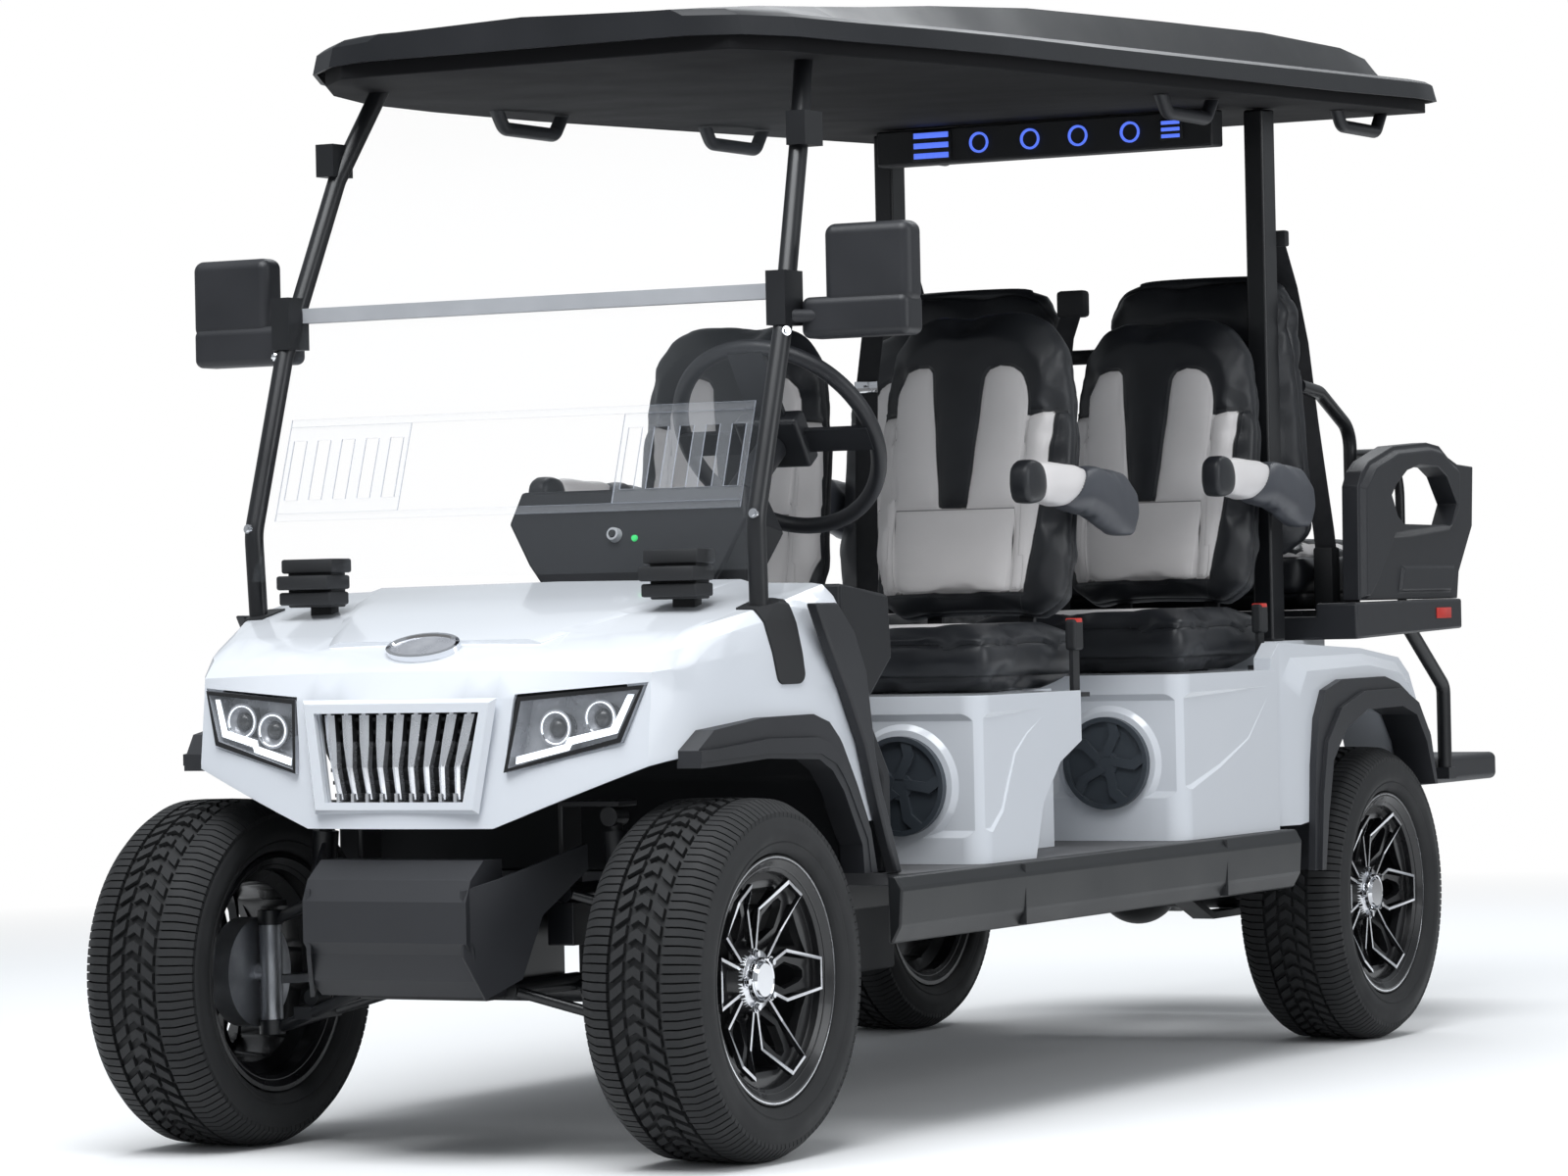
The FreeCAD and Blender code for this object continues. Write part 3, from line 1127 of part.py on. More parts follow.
def footrest():
    slab = softened(box((-426, rear(650), 480), (426, rear(s.rearOverhang), s.footrestTop)), 14)
    lug = box((400, rear(713), 492), (462, rear(753), 516))
    moulded("footrest", fused([slab, lug, flip(lug)]))
    line = [(445, rear(530), 826), (445, rear(733), 689), (445, rear(733), 516 + s.seatGap)]
    above = next(item for item in nodes if item.Label == "rear_tray").Shape.copy()
    above.translate(Vector(0, 0, -s.seatGap))
    leg = min(tube(line, 15, 30).cut(above).Solids, key=lambda solid: solid.BoundBox.ZMin)
    moulded("footrest_tubes", both_sides(leg))


# Steering

def steering():
    centre = Vector(s.wheelCentreX, front(s.wheelCentreAft), s.wheelCentreHeight)
    lean = math.radians(s.columnLean)
    axis = Vector(0, math.cos(lean), math.sin(lean))
    ring = Part.makeTorus(s.wheelRadius, s.wheelGrip, Vector(0, 0, 0), Vector(0, 0, 1))
    boss = softened(box((-62, -52, -30), (62, 46, 8)), 8)
    spokes = []
    for angle, half in ((0, 22), (180, 22), (270, 34)):
        spoke = box((20, -half, -16), (s.wheelRadius - 2, half, -6))
        spoke.rotate(Vector(0, 0, 0), Vector(0, 0, 1), angle)
        spokes.append(spoke)
    wheel = fused([ring, boss] + spokes)
    turn = Rotation(Vector(0, 0, 1), axis)
    wheel.Placement = Placement(centre, turn)
    moulded("steering_wheel", wheel)
    start = centre - axis * 31
    end = centre - axis * 330
    column = rod(tuple(end), tuple(start), 26)
    panel = next(item for item in nodes if item.Label == "dashboard").Shape
    column = max(column.cut(panel).Solids, key=lambda solid: solid.BoundBox.ZMax)
    moulded("steering_column", column)


def speakers():
    cups = []
    radius = s.speakerRadius
    for face in ("A", "B"):
        y = front(mm("boxFront" + face)) - s.seatGap
        z = mm("speakerHeight" + face)
        toward = Vector(0, -1, 0)
        middle = Vector(s.speakerX, y, z)
        cup = Part.makeCylinder(radius, 14, middle, toward)
        cup = cup.cut(Part.makeCylinder(radius - 9, 9, middle + toward * 5, toward))
        cap = Part.makeCylinder(24, 11, middle, toward)
        spokes = []
        for i in range(5):
            spoke = extruded([(s.speakerX + u, y, z + v) for u, v in ((-9, 12), (9, 12), (30, 52), (22, radius - 6),
                                                                      (2, radius - 3), (10, 52))], (0, -12, 0))
            spoke.rotate(middle, toward, i * 72)
            spokes.append(spoke)
        cups.append(fused([cup, cap] + spokes))
    moulded("speakers", Part.makeCompound([shape for cup in cups for shape in (cup, flip(cup))]))


wheels()
knuckle("left", 1)
knuckle("right", -1)
front_suspension()
rear_axle()
chassis()
floor()
front_body()
headlamps()
grille()
front_bumper()
flares()
cowl_trims()
post_covers()
dashboard()
windshield()
roof()
rear_posts()
seat_boxes()
rear_body()
seats()
belt_buckles()
armrests()
rear_seat()
rear_arms()
footrest()
steering()
speakers()

doc.recompute()
for item in doc.Objects:
    if "Invalid" in item.State or "Error" in item.State:
        raise RuntimeError("%s failed: %s" % (item.Label, item.State))
for item in nodes:
    if item.Shape.isNull() or not item.Shape.isValid():
        raise RuntimeError("%s has no valid shape" % item.Label)

os.makedirs("parts", exist_ok=True)
for item in nodes:
    item.Shape.exportStep("parts/%s.step" % item.Label)
print("wrote", len(nodes), "parts")
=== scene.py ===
import json
import math
import bmesh
import bpy
from mathutils import Matrix, Vector


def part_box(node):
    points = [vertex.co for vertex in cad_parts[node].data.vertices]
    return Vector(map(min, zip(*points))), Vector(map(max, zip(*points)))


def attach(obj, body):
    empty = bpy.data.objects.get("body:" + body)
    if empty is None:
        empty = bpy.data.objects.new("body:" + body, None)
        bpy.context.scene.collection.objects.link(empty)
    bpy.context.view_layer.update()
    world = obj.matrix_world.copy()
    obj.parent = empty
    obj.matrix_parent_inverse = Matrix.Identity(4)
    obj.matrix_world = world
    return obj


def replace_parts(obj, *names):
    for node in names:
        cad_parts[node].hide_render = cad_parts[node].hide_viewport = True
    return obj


# golf cart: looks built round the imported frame, metres, +Z up, front towards -Y
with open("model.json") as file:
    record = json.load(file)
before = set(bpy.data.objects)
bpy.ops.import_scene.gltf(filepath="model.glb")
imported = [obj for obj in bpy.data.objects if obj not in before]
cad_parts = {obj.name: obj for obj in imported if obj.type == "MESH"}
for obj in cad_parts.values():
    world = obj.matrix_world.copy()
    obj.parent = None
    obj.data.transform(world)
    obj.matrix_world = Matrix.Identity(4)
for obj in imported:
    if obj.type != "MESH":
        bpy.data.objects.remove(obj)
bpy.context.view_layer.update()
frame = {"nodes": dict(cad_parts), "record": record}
nodes = frame["nodes"]
bodyOfNode = {node: body for body, members in frame["record"]["behaviour"]["bodies"].items() for node in members}

scene = bpy.context.scene
tyreLow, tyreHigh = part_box("tyre_front_left")
frontAxle = (tyreLow.y + tyreHigh.y) / 2


# Materials

def nodeOf(tree, kind):
    return next(node for node in tree.nodes if node.type == kind)


def newMaterial(name):
    made = bpy.data.materials.new(name)
    made.use_nodes = True
    tree = made.node_tree
    return made, tree, nodeOf(tree, "BSDF_PRINCIPLED")


def setSockets(node, **values):
    for name, value in values.items():
        node.inputs[name.replace("_", " ")].default_value = value


def addNode(tree, kind, **values):
    # a new shader node with its sockets, or else its settings, given by name
    node = tree.nodes.new("ShaderNode" + kind)
    for name, value in values.items():
        if name in node.inputs.keys():
            node.inputs[name].default_value = value
        else:
            setattr(node, name, value)
    return node


def noiseOf(tree, scale, detail=3.0, stretch=(1, 1, 1)):
    place = addNode(tree, "TexCoord")
    mapping = addNode(tree, "Mapping", Scale=stretch)
    noise = addNode(tree, "TexNoise", Scale=scale, Detail=detail)
    tree.links.new(place.outputs["Object"], mapping.inputs["Vector"])
    tree.links.new(mapping.outputs["Vector"], noise.inputs["Vector"])
    return noise.outputs["Fac"]


def rangeOf(tree, source, low, high, fromLow=0.3, fromHigh=0.7):
    spread = addNode(tree, "MapRange")
    setSockets(spread, From_Min=fromLow, From_Max=fromHigh, To_Min=low, To_Max=high)
    tree.links.new(source, spread.inputs["Value"])
    return spread.outputs["Result"]


def colourMix(tree, source, first, second):
    mix = addNode(tree, "Mix", data_type="RGBA")
    mix.inputs[6].default_value = (*first, 1)
    mix.inputs[7].default_value = (*second, 1)
    tree.links.new(source, mix.inputs["Factor"])
    return mix.outputs[2]


def bumpFrom(tree, shader, source, strength, distance, before=None):
    # a bump on the shader, laid over the one before
    bump = addNode(tree, "Bump", Strength=strength, Distance=distance)
    tree.links.new(source, bump.inputs["Height"])
    if before:
        tree.links.new(before.outputs["Normal"], bump.inputs["Normal"])
    tree.links.new(bump.outputs["Normal"], shader.inputs["Normal"])
    return bump


def finish(name, colour, second, rough, patch=5.0, grain=0.0, grainScale=600.0, depth=0.0004, **sockets):
    # a surface with a slow colour change, uneven gloss and a fine grain
    made, tree, shader = newMaterial(name)
    slow = noiseOf(tree, patch, 4.0)
    tree.links.new(colourMix(tree, rangeOf(tree, slow, 0, 1), colour, second), shader.inputs["Base Color"])
    tree.links.new(rangeOf(tree, slow, rough[0], rough[1]), shader.inputs["Roughness"])
    if grain:
        bumpFrom(tree, shader, noiseOf(tree, grainScale, 2.0), grain, depth)
    setSockets(shader, **sockets)
    return made


whitePaint = finish("whitePaint", (0.80, 0.825, 0.865), (0.77, 0.80, 0.845), (0.16, 0.24), patch=2.5,
                    grain=0.04, grainScale=900, Coat_Weight=0.6, Coat_Roughness=0.05)
blackTrim = finish("blackTrim", (0.014, 0.015, 0.018), (0.022, 0.023, 0.027), (0.40, 0.55), grain=0.35,
                   grainScale=1400, depth=0.0003)
matBlack = finish("matBlack", (0.009, 0.0095, 0.011), (0.015, 0.016, 0.018), (0.55, 0.72), grain=0.3)
frameBlack = finish("frameBlack", (0.008, 0.0085, 0.010), (0.014, 0.015, 0.017), (0.28, 0.42), grain=0.12,
                    grainScale=300)
tyreRubber = finish("tyreRubber", (0.009, 0.0094, 0.0102), (0.017, 0.0175, 0.0185), (0.62, 0.82), patch=14, grain=0.4,
                    grainScale=900)
rimBlack = finish("rimBlack", (0.006, 0.006, 0.007), (0.011, 0.011, 0.012), (0.22, 0.34), Coat_Weight=0.15)
machinedAlloy = finish("machinedAlloy", (0.74, 0.75, 0.77), (0.62, 0.63, 0.66), (0.18, 0.30), patch=30,
                       Metallic=1.0)
chrome = finish("chrome", (0.80, 0.81, 0.83), (0.72, 0.73, 0.76), (0.06, 0.12), Metallic=1.0)
steelGrey = finish("steelGrey", (0.36, 0.37, 0.39), (0.26, 0.27, 0.29), (0.32, 0.5), patch=18, Metallic=0.9)
rockerGrey = finish("rockerGrey", (0.009, 0.010, 0.011), (0.014, 0.015, 0.017), (0.36, 0.48), grain=0.15,
                    grainScale=1200)
roofGrey = finish("roofGrey", (0.009, 0.010, 0.012), (0.014, 0.015, 0.018), (0.40, 0.52), grain=0.15,
                  grainScale=1200, Specular_IOR_Level=0.35)
liningBlack = finish("liningBlack", (0.005, 0.005, 0.006), (0.009, 0.009, 0.010), (0.7, 0.85), grain=0.2,
                     Specular_IOR_Level=0.2)
brightBar = finish("brightBar", (0.86, 0.87, 0.90), (0.78, 0.79, 0.82), (0.20, 0.30), patch=40, Metallic=0.85)
floorMat = finish("floorMat", (0.12, 0.12, 0.125), (0.17, 0.17, 0.175), (0.6, 0.8), grain=0.5, grainScale=250)
dashGrey = finish("dashGrey", (0.008, 0.009, 0.011), (0.013, 0.014, 0.017), (0.45, 0.6), grain=0.3, grainScale=1300,
                  Specular_IOR_Level=0.35)
speakerGrey = finish("speakerGrey", (0.045, 0.055, 0.066), (0.065, 0.075, 0.088), (0.3, 0.42), grain=0.1)


seamNames = ("cream", "grey", "seamA", "seamB", "seamC")
leatherLook = {"black": ((0.012, 0.013, 0.016), (0.022, 0.024, 0.028)), "grey": (0.062, 0.067, 0.080),
               "cream": ((0.90, 0.865, 0.855), (0.84, 0.81, 0.80)), "thread": (0.34, 0.33, 0.33), "blend": 0.0004,
               "stitch": (0.0006, 0.0016), "groove": 0.006, "gloss": (0.34, 0.5), "patch": 7.0}
# scale, detail and stretch of the grain and of the creases, with the bump's strength and depth
leatherBumps = ((650.0, 2.0, (1, 1, 1), 0.45, 0.0006), (6.0, 1.5, (1, 1, 2.5), 0.35, 0.010))
seamBump = (0.7, 0.003)


def seatFabric(name):
    # leather whose cream, grey and stitched lines follow the piece's own attributes
    made, tree, shader = newMaterial(name)
    link = tree.links.new

    def reading(attribute, low, high, away=False):
        source = addNode(tree, "Attribute", attribute_name=attribute).outputs["Fac"]
        if away:
            size = addNode(tree, "Math", operation="ABSOLUTE")
            link(source, size.inputs[0])
            source = size.outputs["Value"]
        return rangeOf(tree, source, 0, 1, low, high)

    def product(first, second):
        times = addNode(tree, "Math", operation="MULTIPLY")
        link(first, times.inputs[0])
        link(second, times.inputs[1])
        return times.outputs["Value"]

    slow = rangeOf(tree, noiseOf(tree, leatherLook["patch"], 4.0), 0, 1)
    colour = colourMix(tree, slow, *leatherLook["black"])
    cream = colourMix(tree, slow, *leatherLook["cream"])
    for attribute in ("grey", "cream"):
        mix = addNode(tree, "Mix", data_type="RGBA")
        link(reading(attribute, -leatherLook["blend"], leatherLook["blend"]), mix.inputs["Factor"])
        link(colour, mix.inputs[6])
        if attribute == "cream":
            link(cream, mix.inputs[7])
        else:
            mix.inputs[7].default_value = (*leatherLook["grey"], 1)
        colour = mix.outputs[2]
    line, groove = None, None
    for attribute in seamNames:
        thin = reading(attribute, *leatherLook["stitch"], away=True)
        wide = reading(attribute, 0.0, leatherLook["groove"], away=True)
        line = product(line, thin) if line else thin
        groove = product(groove, wide) if groove else wide
    shade = addNode(tree, "Mix", data_type="RGBA", blend_type="MULTIPLY")
    shade.inputs["Factor"].default_value = 1
    link(colour, shade.inputs[6])
    link(colourMix(tree, line, leatherLook["thread"], (1, 1, 1)), shade.inputs[7])
    link(shade.outputs[2], shader.inputs["Base Color"])
    link(rangeOf(tree, noiseOf(tree, leatherLook["patch"], 4.0), *leatherLook["gloss"]), shader.inputs["Roughness"])
    last = None
    for scale, detail, stretch, strength, depth in leatherBumps:
        last = bumpFrom(tree, shader, noiseOf(tree, scale, detail, stretch), strength, depth, last)
    bumpFrom(tree, shader, groove, *seamBump, last)
    return made


leather = seatFabric("leather")
stripGrey = finish("stripGrey", (0.36, 0.37, 0.39), (0.46, 0.47, 0.49), (0.3, 0.42))


def glassLike(name, colour, alpha, roughness):
    # clear plastic
    made, tree, shader = newMaterial(name)
    slow = noiseOf(tree, 3.0)
    tree.links.new(rangeOf(tree, slow, roughness, roughness + 0.03), shader.inputs["Roughness"])
    setSockets(shader, Base_Color=(*colour, 1), Alpha=alpha, IOR=1.49)
    return made


ventClear = glassLike("ventClear", (0.80, 0.83, 0.88), 0.07, 0.06)
paneClear = glassLike("paneClear", (0.70, 0.75, 0.80), 0.014, 0.02)
lampClear = glassLike("lampClear", (0.80, 0.84, 0.88), 0.05, 0.02)
clearEdge = glassLike("clearEdge", (0.62, 0.66, 0.74), 0.75, 0.2)
lampSilver = finish("lampSilver", (0.50, 0.51, 0.54), (0.36, 0.37, 0.40), (0.2, 0.3), patch=30, Metallic=0.4)
ledWhite = finish("ledWhite", (0.90, 0.93, 0.97), (0.84, 0.88, 0.94), (0.25, 0.35), patch=60,
                  Emission_Color=(0.9, 0.95, 1, 1), Emission_Strength=0.9)
blueLamp = finish("blueLamp", (0.05, 0.10, 0.62), (0.03, 0.07, 0.5), (0.2, 0.3), patch=60,
                  Emission_Color=(0.12, 0.22, 1, 1), Emission_Strength=0.9)
greenLamp = finish("greenLamp", (0.03, 0.5, 0.12), (0.02, 0.4, 0.10), (0.2, 0.3), patch=60,
                   Emission_Color=(0.1, 1, 0.3, 1), Emission_Strength=0.4)
redPlastic = finish("redPlastic", (0.75, 0.045, 0.03), (0.62, 0.035, 0.025), (0.3, 0.4), patch=50)
webbing = finish("webbing", (0.018, 0.019, 0.022), (0.030, 0.031, 0.034), (0.55, 0.7), patch=60, grain=0.5,
                 grainScale=1500)
print("materials ready")


# Pieces carried over from the frame

# a finish, the width of the softened edges, the angle from which they are edges, and the nodes that have them
finishes = (
    (whitePaint, 0.003, 24, "front_body"), (whitePaint, 0.004, 24, "rear_body seat_boxes"),
    (blackTrim, 0.003, 24, "wheel_flares"), (blackTrim, 0.004, 24, "front_bumper cowl_trims"),
    (blackTrim, 0.005, 24, "rear_tray"), (blackTrim, 0.006, 24, "side_mirrors"),
    (blackTrim, 0.014, 18, "rear_side_arms"), (blackTrim, 0, 30, "roof_handles"),
    (blackTrim, 0.001, 30, "steering_wheel"), (blackTrim, 0.002, 30, "steering_column rear_seat_base footrest"),
    (frameBlack, 0, 30, "windshield_posts rear_seat_frame footrest_tubes"), (frameBlack, 0.005, 30, "rear_posts"),
    (frameBlack, 0.001, 30, "front_suspension front_shocks rear_suspension seat_brackets"),
    (frameBlack, 0.002, 30, "rear_axle chassis_frame"), (steelGrey, 0.001, 30, "steering_link"),
    (steelGrey, 0.002, 30, "knuckle_left knuckle_right"), (matBlack, 0.0012, 30, "grille"),
    (matBlack, 0.003, 24, "post_covers"), (matBlack, 0.001, 30, "belt_buckles"),
    (matBlack, 0.004, 30, "overhead_light_bar battery_pack"), (rimBlack, 0.001, 30, "headlamps"),
    (rimBlack, 0.0015, 30, "rim_front_left rim_front_right rim_rear_left rim_rear_right"),
    (dashGrey, 0.006, 24, "dashboard"), (stripGrey, 0.001, 30, "windshield_hinge_bar"),
    (roofGrey, 0.004, 20, "roof_shell"), (liningBlack, 0.002, 30, "roof_liner"), (rockerGrey, 0.004, 20, "rockers"),
    (floorMat, 0.002, 30, "floor_pan"), (speakerGrey, 0.001, 30, "speakers"), (paneClear, 0, 30, "windshield_glass"),
    (lampClear, 0, 30, "headlamp_lenses"), (ventClear, 0.0006, 30, "windshield_vents"),
)
skinLook = {"weld": 0.00002, "flatAngle": 0.6, "bevelSegments": 2}


def newObject(name, data):
    made = bpy.data.objects.new(name, data)
    scene.collection.objects.link(made)
    return made


def meshOf(work, name):
    # the bmesh as a mesh of its own
    mesh = bpy.data.meshes.new(name)
    work.to_mesh(mesh)
    work.free()
    return mesh


def addPiece(name, mesh, node):
    # a new piece on the node's body
    piece = newObject(name, mesh)
    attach(piece, bodyOfNode[node])
    return piece


def sharpen(mesh, angle):
    # smooth shading with sharp edges where faces meet at more than the angle
    work = bmesh.new()
    work.from_mesh(mesh)
    for face in work.faces:
        face.smooth = True
    for edge in work.edges:
        edge.smooth = edge.is_manifold and edge.calc_face_angle(0) < math.radians(angle)
    work.to_mesh(mesh)
    work.free()


def soften(piece, width, angle):
    bevel = piece.modifiers.new("edge", "BEVEL")
    bevel.width = width
    bevel.segments = skinLook["bevelSegments"]
    bevel.limit_method = "ANGLE"
    bevel.angle_limit = math.radians(angle)
    normals = piece.modifiers.new("normals", "WEIGHTED_NORMAL")
    normals.keep_sharp = True


def skinOf(node, material, width, angle):
    # a merged copy of the node with softened edges stands for it
    mesh = nodes[node].data.copy()
    work = bmesh.new()
    work.from_mesh(mesh)
    bmesh.ops.remove_doubles(work, verts=work.verts, dist=skinLook["weld"])
    bmesh.ops.dissolve_limit(work, angle_limit=math.radians(skinLook["flatAngle"]), verts=work.verts,
                             edges=work.edges)
    work.to_mesh(mesh)
    work.free()
    sharpen(mesh, angle)
    mesh.materials.clear()
    mesh.materials.append(material)
    piece = addPiece(node + "_skin", mesh, node)
    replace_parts(piece, node)
    if width:
        soften(piece, width, angle)
    return piece


skins = {node: skinOf(node, *look) for *look, names in finishes for node in names.split()}
print("skins ready:", len(skins))


# Helpers for new pieces

def paintFaces(piece, material, chosen):
    # gives another material to the faces that the test picks by their middle, normal and reach
    mesh = piece.data
    mesh.materials.append(material)
    index = len(mesh.materials) - 1
    for face in mesh.polygons:
        reach = max((mesh.vertices[i].co - face.center).length for i in face.vertices)
        if chosen(face.center, face.normal, reach):
            face.material_index = index


def at(x, distance, z):
    # a point a distance behind the front axle
    return Vector((x, frontAxle + distance, z))


def build(name, node, materials, shape, angle=35):
    # a new piece beside the node, with its mesh made by the shape function
    work = bmesh.new()
    shape(work)
    bmesh.ops.remove_doubles(work, verts=work.verts, dist=0.00001)
    bmesh.ops.recalc_face_normals(work, faces=work.faces)
    mesh = meshOf(work, name)
    sharpen(mesh, angle)
    for material in materials:
        mesh.materials.append(material)
    return addPiece(name, mesh, node)


def tint(verts, index):
    # the faces round the vertices take the piece's material of that number
    for face in {near for vert in verts for near in vert.link_faces}:
        face.material_index = index


def vertsIn(geometry):
    return [item for item in geometry if isinstance(item, bmesh.types.BMVert)]


def slab(work, points, push):
    # a closed block: the outline swept along push
    face = work.faces.new([work.verts.new(point) for point in points])
    made = bmesh.ops.extrude_face_region(work, geom=[face])
    bmesh.ops.translate(work, vec=push, verts=vertsIn(made["geom"]))


def disc(work, centre, axis, radius, depth, segments=24, second=None, index=0):
    # a round block that starts at centre and runs along the axis
    axis = Vector(axis).normalized()
    turn = axis.to_track_quat("Z", "Y").to_matrix().to_4x4()
    place = Matrix.Translation(Vector(centre) + axis * depth / 2) @ turn
    made = bmesh.ops.create_cone(work, cap_ends=True, segments=segments, radius1=radius,
                                 radius2=radius if second is None else second, depth=depth, matrix=place)
    tint(made["verts"], index)


def hoop(work, centre, axis, profile, segments=32, index=0):
    # a ring: the closed profile of (along the axis, radius) spun about the axis
    axis = Vector(axis).normalized()
    side = axis.orthogonal().normalized()
    verts = [work.verts.new(Vector(centre) + axis * along + side * radius) for along, radius in profile]
    edges = [work.edges.new((verts[i], verts[(i + 1) % len(verts)])) for i in range(len(verts))]
    made = bmesh.ops.spin(work, geom=verts + edges, cent=centre, axis=axis, angle=math.tau, steps=segments,
                          use_merge=True)
    tint(vertsIn(made["geom_last"]), index)


def roundedBlock(work, low, high, edge, index=0):
    # a block with bevelled edges
    made = bmesh.ops.create_cube(work, size=1.0)
    low, high = Vector(low), Vector(high)
    for vert in made["verts"]:
        vert.co = Vector([low[i] + (vert.co[i] + 0.5) * (high[i] - low[i]) for i in range(3)])
    edges = list({line for vert in made["verts"] for line in vert.link_edges})
    tint(made["verts"], index)
    bmesh.ops.bevel(work, geom=edges, offset=edge, offset_type="OFFSET", affect="EDGES", segments=2, profile=0.5,
                    material=-1)


def band(work, points, sides, outs, index=0):
    # a strip with four corners at each point; all its faces but the outward one take the index
    rows = []
    for point, side, (near, far) in zip(points, sides, outs):
        corners = (side + near, near - side, far - side, side + far)
        rows.append([work.verts.new(point + corner) for corner in corners])
    for row, further in zip(rows, rows[1:]):
        for i in range(4):
            face = work.faces.new([row[i], row[(i + 1) % 4], further[(i + 1) % 4], further[i]])
            face.material_index = index if i else 0
    for row in (rows[0][::-1], rows[-1]):
        work.faces.new(row).material_index = index


# Tyres with their tread, and the wheels' bright edges

tread = {"pitches": 62, "groove": 0.0070, "root": 0.001, "wallShare": 0.03, "sides": 132,
         "centre": ((-0.013, 0.10, 0.62), (0.0, 0.38, 0.90), (0.013, 0.10, 0.62)),
         "rib": (0.020, 0.042), "ribShares": (0.05, 0.62), "slant": 0.55,
         "shoulder": ((0.049, 0.0), (0.0765, 0.02), (0.090, 0.05), (0.100, 0.07), (0.1058, 0.08)),
         "shoulderShares": ((0.04, 0.44), (0.54, 0.94)),
         "crown": ((0, 0), (0.060, 0.0008), (0.0765, 0.0022), (0.090, 0.010), (0.100, 0.0185), (0.1065, 0.0242))}
# half width of the tyre, then its side wall and its inside as (distance from the middle, drop below the tread)
carcass = {"half": 0.1125, "middleDrop": 0.0085,
           "wall": ((0.0765, 0.0095), (0.088, 0.0165), (0.100, 0.0258), (0.1063, 0.032), (0.1085, 0.041),
                    (0.1100, 0.046), (0.1118, 0.0515), (0.1124, 0.058), (0.1108, 0.0655), (0.1080, 0.0700),
                    (0.1092, 0.0725), (0.1080, 0.0755), (0.1058, 0.0790), (0.1047, 0.0820), (0.0985, 0.0868),
                    (0.0868, 0.0912), (0.0866, 0.1115)),
           "inside": ((0.060, 0.1115), (0.055, 0.070), (-0.055, 0.070), (-0.060, 0.1115))}


def crown(across, radius):
    # radius of the tread's outer surface at a distance from the tyre's middle
    line = tread["crown"]
    for (a, drop), (b, further) in zip(line, line[1:]):
        if across <= b:
            return radius - drop - (further - drop) * (across - a) / (b - a)
    return radius - line[-1][1]


def treadBlock(work, centre, radius, stations):
    # a block that stands on the carcass; each station is (across, first, last) with angles in shares of a pitch
    step = math.tau / tread["pitches"]
    sunk, wall = tread["groove"] + tread["root"], tread["wallShare"]
    rows = []
    for across, first, last in stations:
        row = []
        for share, depth in ((first - wall, sunk), (first, 0), (last, 0), (last + wall, sunk)):
            reach = crown(abs(across), radius) - depth
            turn = share * step
            row.append(work.verts.new(centre + Vector((across, reach * math.sin(turn), reach * math.cos(turn)))))
        rows.append(row)
    faces = [work.faces.new([row[i], row[i + 1], further[i + 1], further[i]])
             for i in range(3) for row, further in zip(rows, rows[1:])]
    return faces + [work.faces.new(rows[0][::-1]), work.faces.new(rows[-1])]


def makeTyre(node):
    low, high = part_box(node)
    centre = (low + high) / 2
    radius = (high.z - low.z) / 2
    widen = (high.x - low.x) / 2 / carcass["half"]

    def shape(work):
        wall = [(x * widen, radius - drop) for x, drop in carcass["wall"]]
        line = [(-x, reach) for x, reach in wall[::-1]] + [(0.0, radius - carcass["middleDrop"])] + wall
        line += [(x, radius - drop) for x, drop in carcass["inside"]]
        hoop(work, centre, (1, 0, 0), line, tread["sides"])
        faces = treadBlock(work, centre, radius, tread["centre"])
        for hand in (1, -1):
            # the blocks on the -X half start half a pitch later
            start = 0.0 if hand > 0 else 0.5
            first, last = (start + share for share in tread["ribShares"])
            inner, outer = (hand * across for across in tread["rib"])
            blocks = [[(inner, first, last), (outer, first - tread["slant"], last - tread["slant"])]]
            for first, last in tread["shoulderShares"]:
                blocks.append([(hand * across, start + first + shift, start + last + shift)
                               for across, shift in tread["shoulder"]])
            for stations in blocks:
                faces += treadBlock(work, centre, radius, stations[::hand])
        parts = {vert for face in faces for vert in face.verts} | {edge for face in faces for edge in face.edges}
        steps = tread["pitches"]
        bmesh.ops.spin(work, geom=list(parts | set(faces)), cent=centre, axis=(1, 0, 0),
                       angle=math.tau * (steps - 1) / steps, steps=steps - 1, use_duplicate=True)

    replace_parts(build(node + "_treaded", node, [tyreRubber], shape, 38), node)


wheelLook = {"loops": 6, "ribWidth": 0.0052, "ribDepth": 0.009, "ribLift": 0.0015, "ribBack": 0.008,
             "corners": ((0.047, -24), (0.114, -20.5), (0.1655, -8.3), (0.1655, 8.3), (0.114, 20.5), (0.047, 24)),
             "middleCorner": 0.114, "outerCorner": 0.1655, "mitreLimit": 0.5, "spokeBand": (0.07, 0.125),
             "brightHub": 0.056, "brightFacing": 0.3,
             "trim": ((0, 0.0052), (0.0034, 0.0046), (0.0034, 0.0022), (0, 0.0016)), "trimBack": 0.003}
hubLook = {"back": 0.0298, "cap": 0.031, "capTop": 0.86, "capDepth": 0.010,
           "ring": ((0.000, 0.0325), (0.006, 0.0325), (0.0075, 0.0345), (0.004, 0.0365), (0.0, 0.0365)),
           "lugs": 5, "lugCircle": 0.045, "lug": (0.0062, 0.011, 6, 0.0054), "lugBack": 0.004,
           "seat": ((0, 0.0078), (0.003, 0.0078), (0.003, 0.0092), (0, 0.0092)), "seatBack": 0.002}


